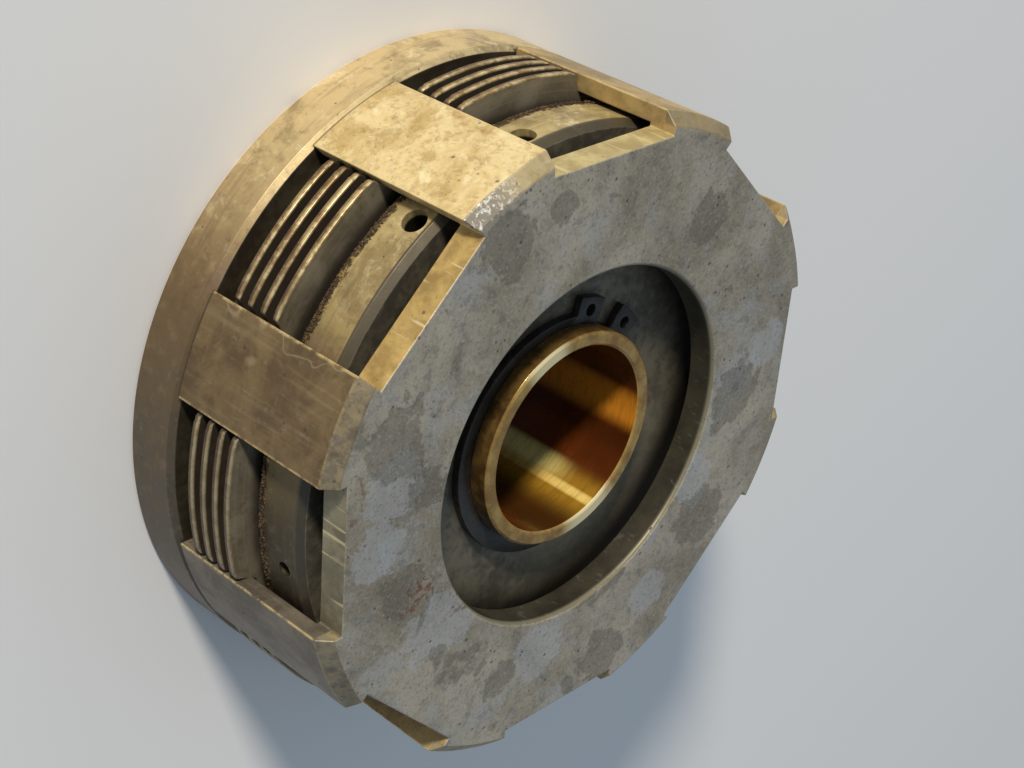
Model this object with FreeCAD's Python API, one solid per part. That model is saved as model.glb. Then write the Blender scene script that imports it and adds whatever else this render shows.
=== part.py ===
import FreeCAD, Part
import math
import os

# Electromagnetic multi-disc brake, in millimetres.
# +Z runs along the shaft axis, from the rear face up to the front plate.
# The origin lies on the shaft axis, in the rear face of the magnet body.
# Angles are in degrees from +X, counter-clockwise seen from the front.

# Cage: the one-piece front plate and fingers that hold the outer discs
outer_diameter = 136.0
finger_count = 8
window_width = 31.8
finger_thickness = 3.7
front_plate_thickness = 6.3
front_hole_diameter = 76.0
window_depth_in_plate = 6.3
finger_end_bevel = 2.5
front_hole_bevel = 0.6
first_window_angle = 0.0
tenon_width = 12.0
tenon_thickness = 2.0
tenon_set_back = 0.2

# Magnet body: the rear ring with the coil in its annular groove
rim_thickness = 12.5
rim_front_bevel = 1.2
rim_rear_bevel = 0.8
pole_rise = 3.0
pole_bevel = 0.5
pole_clearance_to_fingers = 2.8
outer_pole_width = 5.5
coil_groove_width = 15.0
coil_groove_floor = 3.5
mounting_hole_count = 4
mounting_hole_radius = 2.5
mounting_hole_depth = 9.0
mounting_hole_inset = 5.5
lead_hole_radius = 3.5
lead_hole_angle = 112.5

# Coil, from the floor of the groove up to the pole faces
bobbin_wall = 1.2
potting_thickness = 1.6
potting_set_back = 0.3
winding_gap_to_groove = 0.4
lead_core_radius = 1.0
lead_core_spacing = 2.8
grommet_flange_radius = 5.0
grommet_flange_thickness = 1.2
grommet_set_back = 0.2

# Bronze sleeve with its two retaining rings
bore_diameter = 40.0
sleeve_wall = 3.0
sleeve_rear_set_back = 0.6
sleeve_nose_length = 4.3
sleeve_end_bevel = 0.5
ring_thickness = 1.75
ring_groove_depth = 1.25
ring_groove_play = 0.05
ring_wide_side = 4.8
ring_narrow_side = 2.9
ring_lug_height = 6.7
ring_lug_span = 15.5
ring_gap_span = 12.0
ring_lug_hole_radius = 1.25
front_ring_angle = -120.1
rear_ring_angle = 60.0
rear_recess_radius = 30.0
rear_recess_depth = 4.6

# Splined hub, keyed to the shaft through the sleeve
spline_tooth_count = 20
spline_root_radius = 31.0
spline_tip_radius = 34.0
spline_tooth_share = 0.5
spline_tip_share = 0.3
spline_play = 0.12
hub_end_bevel = 0.6
hub_engagement = 3.4
keyway_width = 12.0
keyway_depth = 3.3
keyway_length = 29.0
keyway_angle = -45.0
thrust_washer_thickness = 1.3
thrust_washer_seat_depth = 1.2
thrust_washer_inset = 0.2
thrust_washer_play = 0.3

# Discs
disc_pair_count = 4
outer_disc_thickness = 1.5
inner_disc_thickness = 1.8
disc_spacing = 0.1
lug_side_play = 0.5
lug_tip_set_back = 0.0
lug_corner_radius = 1.5
outer_disc_rim_play = 0.5
hub_play_to_outer_discs = 3.5
inner_disc_rim_play = 3.3
flux_slot_count = 6
flux_slot_width = 3.0
flux_slot_span = 42.0
rear_play = 0.4
front_play = 2.3

# Armature: the thick yellow disc that is pulled back on the pack
armature_thickness = 12.2
armature_play_to_fingers = 1.0
armature_play_to_front_plate = 4.0
armature_front_bevel = 1.3
armature_rear_bevel = 0.8
armature_web_thickness = 5.1
wrench_hole_radius = 2.5
wrench_hole_depth = 8.0
wrench_hole_set_back = 4.8
wrench_hole_angles = (-82.0, -56.7, 98.0, 123.3)
locking_hole_radius = 1.5
locking_hole_depth = 6.0
locking_hole_angles = (8.0, 188.0)

# Release spring round the sleeve
spring_wire_radius = 0.9
spring_turns = 4.0
spring_seat_depth = 8.5
spring_play_to_sleeve = 1.8
spring_play_to_hub = 1.7

# Fits
running_play = 0.05
axial_play = 0.05

# Places that follow from the sizes above
outer_radius = outer_diameter / 2
finger_inner_radius = outer_radius - finger_thickness
flat_radius = outer_radius - window_depth_in_plate
front_hole_radius = front_hole_diameter / 2
finger_pitch = 360.0 / finger_count
pole_z = rim_thickness + pole_rise
pole_radius = finger_inner_radius - pole_clearance_to_fingers
coil_groove_outer_radius = pole_radius - outer_pole_width
coil_groove_inner_radius = coil_groove_outer_radius - coil_groove_width
coil_groove_middle_radius = (coil_groove_inner_radius + coil_groove_outer_radius) / 2
mounting_circle_radius = outer_radius - mounting_hole_inset
thrust_washer_outer_radius = spline_root_radius - thrust_washer_inset
outer_disc_hole_radius = spline_tip_radius + hub_play_to_outer_discs
inner_disc_radius = finger_inner_radius - inner_disc_rim_play
disc_pack_z = pole_z + rear_play
disc_pair_pitch = outer_disc_thickness + inner_disc_thickness + 2 * disc_spacing
disc_pack_height = disc_pair_count * disc_pair_pitch - disc_spacing
armature_rear_z = disc_pack_z + disc_pack_height + front_play
armature_front_z = armature_rear_z + armature_thickness
front_plate_rear_z = armature_front_z + armature_play_to_front_plate
front_z = front_plate_rear_z + front_plate_thickness
armature_radius = finger_inner_radius - armature_play_to_fingers
armature_ceiling_z = armature_front_z - armature_web_thickness
bore_radius = bore_diameter / 2
sleeve_radius = bore_radius + sleeve_wall
sleeve_seat_radius = sleeve_radius + running_play
front_ring_z = armature_front_z + axial_play
sleeve_front_z = front_ring_z + ring_thickness + sleeve_nose_length
rear_ring_z = rear_recess_depth - axial_play - ring_thickness
ring_seat_radius = sleeve_radius - ring_groove_depth
washer_seat_z = pole_z - thrust_washer_seat_depth
hub_rear_z = washer_seat_z + thrust_washer_thickness + axial_play
hub_front_z = armature_rear_z + hub_engagement
spring_seat_z = hub_front_z - spring_seat_depth
spring_mean_radius = sleeve_radius + spring_play_to_sleeve + spring_wire_radius
spring_seat_radius = spring_mean_radius + spring_wire_radius + spring_play_to_hub
tenon_outer_radius = finger_inner_radius + tenon_thickness


def point(radius, angle, z=0.0):
    """Point at a radius, an angle in degrees and a height."""
    turn = math.radians(angle)
    return FreeCAD.Vector(radius * math.cos(turn), radius * math.sin(turn), z)


def turned(profile):
    """Solid of revolution about the shaft axis of a closed outline of (radius, height) pairs."""
    corners = [FreeCAD.Vector(radius, 0, z) for radius, z in profile]
    face = Part.Face(Part.makePolygon(corners + corners[:1]))
    return face.revolve(FreeCAD.Vector(0, 0, 0), FreeCAD.Vector(0, 0, 1), 360)


def cylinder(radius, bottom, top, centre=None):
    """Upright cylinder between two heights."""
    base = centre or FreeCAD.Vector(0, 0, 0)
    return Part.makeCylinder(radius, top - bottom, FreeCAD.Vector(base.x, base.y, bottom))


def radial_bar(inner, outer, width, bottom, top, angle):
    """Upright bar that reaches out from one radius to another, centred on an angle."""
    bar = Part.makeBox(outer - inner, width, top - bottom, FreeCAD.Vector(inner, -width / 2, bottom))
    bar.rotate(FreeCAD.Vector(0, 0, 0), FreeCAD.Vector(0, 0, 1), angle)
    return bar


def radial_hole(radius, depth, surface_radius, z, angle):
    """Blind round hole drilled towards the axis from a cylindrical surface."""
    overshoot = 1.0
    start = point(surface_radius + overshoot, angle, z)
    return Part.makeCylinder(radius, depth + overshoot, start, point(-1, angle))


def arc_slot(mean_radius, width, span, bottom, top, angle):
    """Curved slot with round ends that follows a circle about the shaft axis."""
    inner = mean_radius - width / 2
    outer = mean_radius + width / 2
    half = span / 2
    cap = half + math.degrees(width / 2 / mean_radius)
    edges = [
        Part.Arc(point(outer, angle - half), point(outer, angle), point(outer, angle + half)),
        Part.Arc(point(outer, angle + half), point(mean_radius, angle + cap), point(inner, angle + half)),
        Part.Arc(point(inner, angle + half), point(inner, angle), point(inner, angle - half)),
        Part.Arc(point(inner, angle - half), point(mean_radius, angle - cap), point(outer, angle - half)),
    ]
    face = Part.Face(Part.Wire([edge.toShape() for edge in edges]))
    face.translate(FreeCAD.Vector(0, 0, bottom))
    return face.extrude(FreeCAD.Vector(0, 0, top - bottom))


def window_angles():
    """Angles of the windows between the fingers."""
    return [first_window_angle + index * finger_pitch for index in range(finger_count)]


def finger_angles():
    """Angles of the fingers, half a pitch from the windows."""
    return [angle + finger_pitch / 2 for angle in window_angles()]


def spline_prism(play, bottom, top):
    """Toothed prism of the hub's spline, grown on every side by a play."""
    pitch = 360.0 / spline_tooth_count
    root = spline_root_radius + play
    tip = spline_tip_radius + play
    root_half = pitch * spline_tooth_share / 2 + math.degrees(play / root)
    tip_half = pitch * spline_tip_share / 2 + math.degrees(play / tip)
    corners = []
    for index in range(spline_tooth_count):
        middle = index * pitch
        corners.append(point(root, middle - root_half, bottom))
        corners.append(point(tip, middle - tip_half, bottom))
        corners.append(point(tip, middle + tip_half, bottom))
        corners.append(point(root, middle + root_half, bottom))
    face = Part.Face(Part.makePolygon(corners + corners[:1]))
    return face.extrude(FreeCAD.Vector(0, 0, top - bottom))


def tenons(play, bottom, top):
    """Tenons on the ends of the fingers, or with a play the slots that take them."""
    ring = cylinder(tenon_outer_radius + play, bottom, top)
    ring = ring.cut(cylinder(finger_inner_radius - play, bottom, top))
    bars = [radial_bar(flat_radius, outer_radius, tenon_width + 2 * play, bottom, top, angle)
            for angle in finger_angles()]
    return ring.common(Part.makeCompound(bars))


def make_cage():
    """Front plate and fingers turned as one cup, with the windows milled through wall and plate edge."""
    cup = turned([
        (front_hole_radius, front_plate_rear_z),
        (front_hole_radius, front_z - front_hole_bevel),
        (front_hole_radius + front_hole_bevel, front_z),
        (outer_radius - finger_end_bevel, front_z),
        (outer_radius, front_z - finger_end_bevel),
        (outer_radius, rim_thickness),
        (finger_inner_radius, rim_thickness),
        (finger_inner_radius, front_plate_rear_z),
    ])
    overshoot = 1.0
    windows = [radial_bar(flat_radius, outer_radius + overshoot, window_width, rim_thickness - overshoot,
                          front_z + overshoot, angle) for angle in window_angles()]
    milled = cup.cut(windows)
    return milled.fuse(tenons(0.0, tenon_set_back, rim_thickness)).removeSplitter()


def make_magnet_body():
    """Rear ring with raised pole faces, coil groove, sleeve bearing and holes in the rear face."""
    body = turned([
        (rear_recess_radius, 0),
        (outer_radius - rim_rear_bevel, 0),
        (outer_radius, rim_rear_bevel),
        (outer_radius, rim_thickness - rim_front_bevel),
        (outer_radius - rim_front_bevel, rim_thickness),
        (pole_radius, rim_thickness),
        (pole_radius, pole_z - pole_bevel),
        (pole_radius - pole_bevel, pole_z),
        (coil_groove_outer_radius, pole_z),
        (coil_groove_outer_radius, coil_groove_floor),
        (coil_groove_inner_radius, coil_groove_floor),
        (coil_groove_inner_radius, pole_z),
        (thrust_washer_outer_radius + thrust_washer_play, pole_z),
        (thrust_washer_outer_radius + thrust_washer_play, washer_seat_z),
        (sleeve_seat_radius, washer_seat_z),
        (sleeve_seat_radius, rear_recess_depth),
        (rear_recess_radius, rear_recess_depth),
    ])
    holes = [cylinder(mounting_hole_radius, -1, mounting_hole_depth,
                      point(mounting_circle_radius, index * 360.0 / mounting_hole_count))
             for index in range(mounting_hole_count)]
    lead_centre = point(coil_groove_middle_radius, lead_hole_angle)
    holes.append(cylinder(lead_hole_radius, -1, coil_groove_floor + 1, lead_centre))
    flange_top = grommet_set_back + grommet_flange_thickness
    holes.append(cylinder(grommet_flange_radius, -1, flange_top, lead_centre))
    return body.cut(holes + [tenons(running_play, -1, rim_thickness + 1)])


def make_coil_bobbin():
    """Spool of the coil: a wall at the inner side of the groove between two flanges."""
    top = pole_z - potting_set_back - potting_thickness
    outer = coil_groove_outer_radius - winding_gap_to_groove
    inner = coil_groove_inner_radius
    return turned([
        (inner, coil_groove_floor),
        (outer, coil_groove_floor),
        (outer, coil_groove_floor + bobbin_wall),
        (inner + bobbin_wall, coil_groove_floor + bobbin_wall),
        (inner + bobbin_wall, top - bobbin_wall),
        (outer, top - bobbin_wall),
        (outer, top),
        (inner, top),
    ])


def make_coil_winding():
    """Copper winding that fills the bobbin between its flanges."""
    bottom = coil_groove_floor + bobbin_wall
    top = pole_z - potting_set_back - potting_thickness - bobbin_wall
    inner = coil_groove_inner_radius + bobbin_wall
    outer = coil_groove_outer_radius - winding_gap_to_groove
    return turned([(inner, bottom), (outer, bottom), (outer, top), (inner, top)])


def make_coil_potting():
    """Ring of resin that closes the groove, a little below the pole faces."""
    top = pole_z - potting_set_back
    bottom = top - potting_thickness
    return turned([
        (coil_groove_inner_radius, bottom),
        (coil_groove_outer_radius, bottom),
        (coil_groove_outer_radius, top),
        (coil_groove_inner_radius, top),
    ])


def make_lead_grommet():
    """Flanged grommet in the rear face with two small holes for the coil's leads."""
    centre = point(coil_groove_middle_radius, lead_hole_angle)
    flange_top = grommet_set_back + grommet_flange_thickness
    body = cylinder(lead_hole_radius, grommet_set_back, coil_groove_floor, centre)
    flange = cylinder(grommet_flange_radius, grommet_set_back, flange_top, centre)
    cores = []
    for side in (-1, 1):
        place = point(coil_groove_middle_radius + side * lead_core_spacing / 2, lead_hole_angle)
        cores.append(cylinder(lead_core_radius, -1, coil_groove_floor + 1, place))
    return body.fuse(flange).cut(cores).removeSplitter()


def make_thrust_washer():
    """Flat washer between the magnet body and the hub."""
    return turned([
        (sleeve_radius + thrust_washer_play, washer_seat_z),
        (thrust_washer_outer_radius, washer_seat_z),
        (thrust_washer_outer_radius, washer_seat_z + thrust_washer_thickness),
        (sleeve_radius + thrust_washer_play, washer_seat_z + thrust_washer_thickness),
    ])


def keyway(bottom, top):
    """Keyway through the sleeve's wall and into the hub, open to the rear."""
    return radial_bar(0, bore_radius + keyway_depth, keyway_width, bottom, top, keyway_angle)


def make_bearing_sleeve():
    """Bronze sleeve with a groove for a retaining ring near each end."""
    grooves = [turned([
        (ring_seat_radius, z - ring_groove_play),
        (sleeve_radius + 1, z - ring_groove_play),
        (sleeve_radius + 1, z + ring_thickness + ring_groove_play),
        (ring_seat_radius, z + ring_thickness + ring_groove_play),
    ]) for z in (rear_ring_z, front_ring_z)]
    sleeve = turned([
        (bore_radius, sleeve_rear_set_back + sleeve_end_bevel),
        (bore_radius + sleeve_end_bevel, sleeve_rear_set_back),
        (sleeve_radius - sleeve_end_bevel, sleeve_rear_set_back),
        (sleeve_radius, sleeve_rear_set_back + sleeve_end_bevel),
        (sleeve_radius, sleeve_front_z - sleeve_end_bevel),
        (sleeve_radius - sleeve_end_bevel, sleeve_front_z),
        (bore_radius + sleeve_end_bevel, sleeve_front_z),
        (bore_radius, sleeve_front_z - sleeve_end_bevel),
    ])
    return sleeve.cut(grooves + [keyway(0, sleeve_rear_set_back + keyway_length)])


def make_retaining_ring(bottom, angle):
    """Open spring ring for a shaft, widest opposite its gap, with a drilled lug each side of the gap."""
    top = bottom + ring_thickness
    far = ring_seat_radius + ring_wide_side
    near = ring_seat_radius + ring_narrow_side
    body = cylinder((far + near) / 2, bottom, top, point(-(far - near) / 2, angle))
    lug_outer = ring_seat_radius + ring_lug_height
    lug_middle = (sleeve_radius + lug_outer) / 2
    cuts = [cylinder(ring_seat_radius, bottom - 1, top + 1)]
    lug_band = cylinder(lug_outer, bottom, top)
    lugs = []
    for side in (-1, 1):
        middle = angle + side * (ring_gap_span + ring_lug_span) / 2
        width = 2 * lug_middle * math.sin(math.radians(ring_lug_span / 2))
        lugs.append(radial_bar(bore_radius, lug_outer + 1, width, bottom, top, middle).common(lug_band))
        cuts.append(cylinder(ring_lug_hole_radius, bottom - 1, top + 1, point(lug_middle, middle)))
    gap_width = 2 * lug_middle * math.sin(math.radians(ring_gap_span / 2))
    cuts.append(radial_bar(0, lug_outer + 1, gap_width, bottom - 1, top + 1, angle))
    return body.fuse(lugs).cut(cuts).removeSplitter()


def make_splined_hub():
    """Hub with straight spline teeth outside, pressed on the sleeve, and a seat for the spring."""
    envelope = turned([
        (sleeve_radius, hub_rear_z),
        (spline_tip_radius - hub_end_bevel, hub_rear_z),
        (spline_tip_radius, hub_rear_z + hub_end_bevel),
        (spline_tip_radius, hub_front_z - hub_end_bevel),
        (spline_tip_radius - hub_end_bevel, hub_front_z),
        (spring_seat_radius, hub_front_z),
        (spring_seat_radius, spring_seat_z),
        (sleeve_radius, spring_seat_z),
    ])
    teeth = spline_prism(0.0, hub_rear_z, hub_front_z)
    return teeth.common(envelope).cut(keyway(0, sleeve_rear_set_back + keyway_length))


def make_release_spring():
    """Coil spring round the sleeve, from its seat in the hub to the web of the armature."""
    height = armature_ceiling_z - spring_seat_z - 2 * spring_wire_radius
    helix = Part.makeHelix(height / spring_turns, height, spring_mean_radius)
    section = Part.Wire(Part.makeCircle(spring_wire_radius, FreeCAD.Vector(spring_mean_radius, 0, 0),
                                        FreeCAD.Vector(0, 1, 0)))
    spring = Part.Wire(helix.Edges).makePipeShell([section], True, True)
    spring.translate(FreeCAD.Vector(0, 0, spring_seat_z + spring_wire_radius))
    return spring


def flux_slots(bottom, top):
    """Ring of curved slots that keep the two pole zones of a disc apart."""
    return [arc_slot(coil_groove_middle_radius, flux_slot_width, flux_slot_span, bottom, top,
                     index * 360.0 / flux_slot_count) for index in range(flux_slot_count)]


def make_outer_disc(bottom):
    """Thin disc with a lug in each window of the cage."""
    top = bottom + outer_disc_thickness
    tip = outer_radius - lug_tip_set_back
    width = window_width - 2 * lug_side_play
    lugs = [radial_bar(0, tip + 1, width, bottom, top, angle) for angle in window_angles()]
    disc = cylinder(finger_inner_radius - outer_disc_rim_play, bottom, top).fuse(lugs)
    disc = disc.common(cylinder(tip, bottom, top)).removeSplitter()
    corners = [edge for edge in disc.Edges if is_lug_corner(edge, tip)]
    disc = disc.makeFillet(lug_corner_radius, corners)
    return disc.cut([cylinder(outer_disc_hole_radius, bottom - 1, top + 1)] + flux_slots(bottom - 1, top + 1))


def is_lug_corner(edge, tip):
    """Whether an edge stands upright at the tip of a lug."""
    if len(edge.Vertexes) != 2:
        return False
    first, last = (vertex.Point for vertex in edge.Vertexes)
    upright = abs(first.z - last.z) > outer_disc_thickness / 2
    return upright and abs(math.hypot(first.x, first.y) - tip) < lug_corner_radius / 10


def make_inner_disc(bottom):
    """Thin disc whose toothed hole slides on the hub."""
    top = bottom + inner_disc_thickness
    disc = cylinder(inner_disc_radius, bottom, top)
    return disc.cut([spline_prism(spline_play, bottom - 1, top + 1)] + flux_slots(bottom - 1, top + 1))


def make_armature():
    """Thick disc that slides on the sleeve, splined on the hub, with radial holes in its rim."""
    body = turned([
        (sleeve_seat_radius, armature_rear_z),
        (armature_radius - armature_rear_bevel, armature_rear_z),
        (armature_radius, armature_rear_z + armature_rear_bevel),
        (armature_radius, armature_front_z - armature_front_bevel),
        (armature_radius - armature_front_bevel, armature_front_z),
        (sleeve_seat_radius, armature_front_z),
    ])
    hole_z = armature_front_z - wrench_hole_set_back
    holes = [radial_hole(wrench_hole_radius, wrench_hole_depth, armature_radius, hole_z, angle)
             for angle in wrench_hole_angles]
    holes += [radial_hole(locking_hole_radius, locking_hole_depth, armature_radius, hole_z, angle)
              for angle in locking_hole_angles]
    return body.cut(holes + [spline_prism(spline_play, armature_rear_z - 1, armature_ceiling_z)])


def make_parts():
    """Every piece of the brake by name."""
    parts = {
        "cage": make_cage(),
        "magnet_body": make_magnet_body(),
        "coil_bobbin": make_coil_bobbin(),
        "coil_winding": make_coil_winding(),
        "coil_potting": make_coil_potting(),
        "lead_grommet": make_lead_grommet(),
        "thrust_washer": make_thrust_washer(),
        "bearing_sleeve": make_bearing_sleeve(),
        "front_retaining_ring": make_retaining_ring(front_ring_z, front_ring_angle),
        "rear_retaining_ring": make_retaining_ring(rear_ring_z, rear_ring_angle),
        "splined_hub": make_splined_hub(),
        "release_spring": make_release_spring(),
        "armature": make_armature(),
    }
    for index in range(disc_pair_count):
        bottom = disc_pack_z + index * disc_pair_pitch
        parts[f"inner_disc_{index + 1}"] = make_inner_disc(bottom)
        parts[f"outer_disc_{index + 1}"] = make_outer_disc(bottom + inner_disc_thickness + disc_spacing)
    return parts


def main():
    """Writes one file for each piece."""
    os.makedirs("parts", exist_ok=True)
    for name, shape in make_parts().items():
        solid = shape.Solids[0] if len(shape.Solids) == 1 else shape
        solid.exportStep(f"parts/{name}.step")
        print(name, len(shape.Solids), shape.isValid(), round(shape.Volume / 1000, 3))


main()
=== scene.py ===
import logging
import math
from dataclasses import dataclass
from enum import Enum
from functools import reduce
from typing import Optional, Sequence, Union

import bmesh
import bpy
import numpy as np
from mathutils import Matrix, Vector


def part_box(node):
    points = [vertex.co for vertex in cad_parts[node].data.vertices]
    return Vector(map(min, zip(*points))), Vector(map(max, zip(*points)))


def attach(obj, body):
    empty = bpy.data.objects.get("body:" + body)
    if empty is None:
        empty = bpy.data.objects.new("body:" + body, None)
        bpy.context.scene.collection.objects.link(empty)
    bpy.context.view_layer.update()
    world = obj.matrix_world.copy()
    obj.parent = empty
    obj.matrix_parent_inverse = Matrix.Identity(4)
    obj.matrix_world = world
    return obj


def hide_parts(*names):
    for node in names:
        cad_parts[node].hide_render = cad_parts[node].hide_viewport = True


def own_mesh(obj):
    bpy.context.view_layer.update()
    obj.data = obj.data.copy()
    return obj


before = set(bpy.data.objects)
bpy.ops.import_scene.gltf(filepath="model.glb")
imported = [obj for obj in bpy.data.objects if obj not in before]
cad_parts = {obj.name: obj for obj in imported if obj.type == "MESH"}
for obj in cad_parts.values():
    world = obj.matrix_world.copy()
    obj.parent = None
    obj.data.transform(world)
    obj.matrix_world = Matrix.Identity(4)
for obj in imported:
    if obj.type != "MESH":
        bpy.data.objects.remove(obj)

# Electromagnetic multi-disc brake: the finished surfaces of every piece, a floor, soft light and the camera.
# Lengths are in millimetres and angles in degrees, and MM turns them into the frame's metres.

log = logging.getLogger("brake")
MM = 0.001
Corner = Sequence[float]


def corners_of(node: str) -> np.ndarray:
    """Lowest and highest corner of a CAD node in millimetres, as two rows."""
    return np.array([list(corner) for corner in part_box(node)]) / MM


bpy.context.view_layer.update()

# Driving sizes: read off the frame's own pieces where a corner gives them, and else as in the part's source
OUTER_RADIUS = float(corners_of("magnet_body")[1][0])
FRONT_Z = float(corners_of("cage")[1][2])
RIM_Z = 12.5
POLE_Z = float(corners_of("magnet_body")[1][2])
ARMATURE_REAR_Z, ARMATURE_FRONT_Z = (float(corner[2]) for corner in corners_of("armature"))
ARMATURE_RADIUS = float(corners_of("armature")[1][0])
SLEEVE_REAR_Z, SLEEVE_FRONT_Z = (float(corner[2]) for corner in corners_of("bearing_sleeve"))
SLEEVE_RADIUS = float(corners_of("bearing_sleeve")[1][0])
FINGER_THICKNESS = 3.7
FINGER_COUNT = 8
PITCH = 360.0 / FINGER_COUNT
WINDOW_ANGLES = [PITCH * index for index in range(FINGER_COUNT)]
FINGER_ANGLES = [PITCH * (index + 0.5) for index in range(FINGER_COUNT)]
WINDOW_WIDTH = 31.8
HOLE_RADIUS = 38.0
END_BEVEL = 2.5
SLEEVE_WALL = 3.0

# How far a cutter stands out of what it cuts
BEYOND = 1.0


# Meshes

def unit(vectors: np.ndarray) -> np.ndarray:
    """Rows of vectors brought to length one."""
    return vectors / np.linalg.norm(vectors, axis=-1, keepdims=True)


def rounded(profile: Sequence[Corner], radius: float, steps: int = 4) -> np.ndarray:
    """Closed outline with every corner eased.

    Each corner P is replaced by the curve (1-u)^2 A + 2u(1-u) P + u^2 B for u from 0 to 1, where A and B lie
    on the two sides next to P, as far out as a fillet of the radius reaches, but within half of a side.

    Args:
        profile: corners (across, up) in order round the outline.
        radius: radius of the easing.
        steps: straight pieces that each corner becomes.

    Returns:
        The eased outline, one row for each point.
    """
    here = np.asarray(profile, float)
    back = np.roll(here, 1, axis=0) - here
    ahead = np.roll(here, -1, axis=0) - here
    lengths = np.minimum(np.linalg.norm(back, axis=1), np.linalg.norm(ahead, axis=1))
    turn = np.pi - np.arccos(np.clip((unit(back) * unit(ahead)).sum(1), -1, 1))
    reach = np.minimum(radius * np.tan(turn / 2), 0.45 * lengths)[:, None]
    share = np.linspace(0, 1, steps + 1)[None, :, None]
    start = (here + unit(back) * reach)[:, None]
    end = (here + unit(ahead) * reach)[:, None]
    curve = (1 - share) ** 2 * start + 2 * share * (1 - share) * here[:, None] + share ** 2 * end
    return curve.reshape(-1, 2)


def polar(radius: Union[float, np.ndarray], angle: np.ndarray) -> np.ndarray:
    """Points (radius cos a, radius sin a) for angles a in radians."""
    return np.stack([radius * np.cos(angle), radius * np.sin(angle)], axis=-1)


def arc(radius: float, start: float, end: float, count: int) -> np.ndarray:
    """Points of a circle about the axis, at angles in degrees evenly spaced from start to end."""
    return polar(radius, np.radians(np.linspace(start, end, count)))


def block_outline(near: float, far: float, width: float) -> np.ndarray:
    """Rectangle between two distances from the axis along +X, with its width to both sides."""
    half = width / 2
    return np.array([(near, -half), (far, -half), (far, half), (near, half)])


def spun(flat: np.ndarray, angle: float) -> np.ndarray:
    """Rows of points whose first two numbers are turned about the shaft axis by an angle in degrees."""
    turn = math.radians(angle)
    out = np.array(flat, float)
    out[..., 0] = math.cos(turn) * flat[..., 0] - math.sin(turn) * flat[..., 1]
    out[..., 1] = math.sin(turn) * flat[..., 0] + math.cos(turn) * flat[..., 1]
    return out


def repeated(points: np.ndarray, angles: Sequence[float]) -> np.ndarray:
    """The points turned about the shaft axis to each of the angles, stacked."""
    return np.stack([spun(points, angle) for angle in angles])


def at_height(flat: np.ndarray, z: float) -> np.ndarray:
    """Flat points set at one height."""
    return np.concatenate([flat, np.full(flat.shape[:-1] + (1,), z)], axis=-1)


def quads(rows: np.ndarray, close_rows: bool = False, close_columns: bool = False) -> np.ndarray:
    """Four-sided faces between the neighbours of a grid of point numbers.

    Args:
        rows: grid of point numbers.
        close_rows: whether the last row joins the first.
        close_columns: whether the last column joins the first.

    Returns:
        One row of four point numbers for each face.
    """
    if close_rows:
        rows = np.concatenate([rows, rows[:1]])
    if close_columns:
        rows = np.concatenate([rows, rows[:, :1]], axis=1)
    faces = np.stack([rows[:-1, :-1], rows[:-1, 1:], rows[1:, 1:], rows[1:, :-1]], axis=-1)
    return faces.reshape(-1, 4)


def walls_and_ends(numbers: np.ndarray) -> list[np.ndarray]:
    """Faces of prisms: side walls, lower ends and upper ends.

    Args:
        numbers: point numbers by prism, by end (lower, upper) and round the outline.

    Returns:
        Three arrays of faces.
    """
    lower, upper = numbers[:, 0], numbers[:, 1]
    walls = np.stack([lower, np.roll(lower, -1, 1), np.roll(upper, -1, 1), upper], axis=-1)
    return [walls.reshape(-1, 4), lower, upper]


def placed(name: str, data: bpy.types.ID) -> bpy.types.Object:
    """New object of a mesh, light or camera, linked to the scene."""
    thing = bpy.data.objects.new(name, data)
    bpy.context.scene.collection.objects.link(thing)
    return thing


def smooth(mesh: bpy.types.Mesh) -> None:
    """Shades every face of the mesh smooth."""
    mesh.polygons.foreach_set("use_smooth", np.ones(len(mesh.polygons), bool))


def solid(name: str, points: np.ndarray, faces: Sequence[np.ndarray]) -> bpy.types.Object:
    """Closed smooth-shaded mesh object, its faces turned outward.

    Args:
        name: name of the object and its mesh.
        points: corner points in millimetres.
        faces: arrays of point numbers, each array holding faces with one number of sides.

    Returns:
        The new object, linked to the scene at the origin.
    """
    mesh = bpy.data.meshes.new(name)
    loops = np.concatenate([group.ravel() for group in faces]).astype(np.int32)
    sides = np.concatenate([np.full(len(group), group.shape[1]) for group in faces])
    starts = np.concatenate([[0], np.cumsum(sides)[:-1]]).astype(np.int32)
    mesh.vertices.add(len(points))
    mesh.vertices.foreach_set("co", (points * MM).astype(np.float32).ravel())
    mesh.loops.add(len(loops))
    mesh.loops.foreach_set("vertex_index", loops)
    mesh.polygons.add(len(sides))
    mesh.polygons.foreach_set("loop_start", starts)
    mesh.update(calc_edges=True)
    mesh.validate()
    shape = bmesh.new()
    shape.from_mesh(mesh)
    bmesh.ops.recalc_face_normals(shape, faces=shape.faces)
    shape.to_mesh(mesh)
    shape.free()
    smooth(mesh)
    return placed(name, mesh)


def turned(name: str, profile: np.ndarray, segments: int = 384) -> bpy.types.Object:
    """Solid of revolution: the point (r, z) of an outline at the angle a becomes (r cos a, r sin a, z)."""
    ring = profile[:, None, :1] * polar(1.0, np.linspace(0, 2 * np.pi, segments, endpoint=False))[None]
    height = np.broadcast_to(profile[:, None, 1:], ring.shape[:2] + (1,))
    points = np.concatenate([ring, height], axis=-1)
    numbers = np.arange(points.shape[0] * segments).reshape(-1, segments)
    return solid(name, points.reshape(-1, 3), [quads(numbers, True, True)])


def prism(name: str, outline: np.ndarray, bottom: float, top: float) -> bpy.types.Object:
    """Solid of one flat outline, raised from one height to another."""
    return prisms(name, outline[None], bottom, top)


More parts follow.
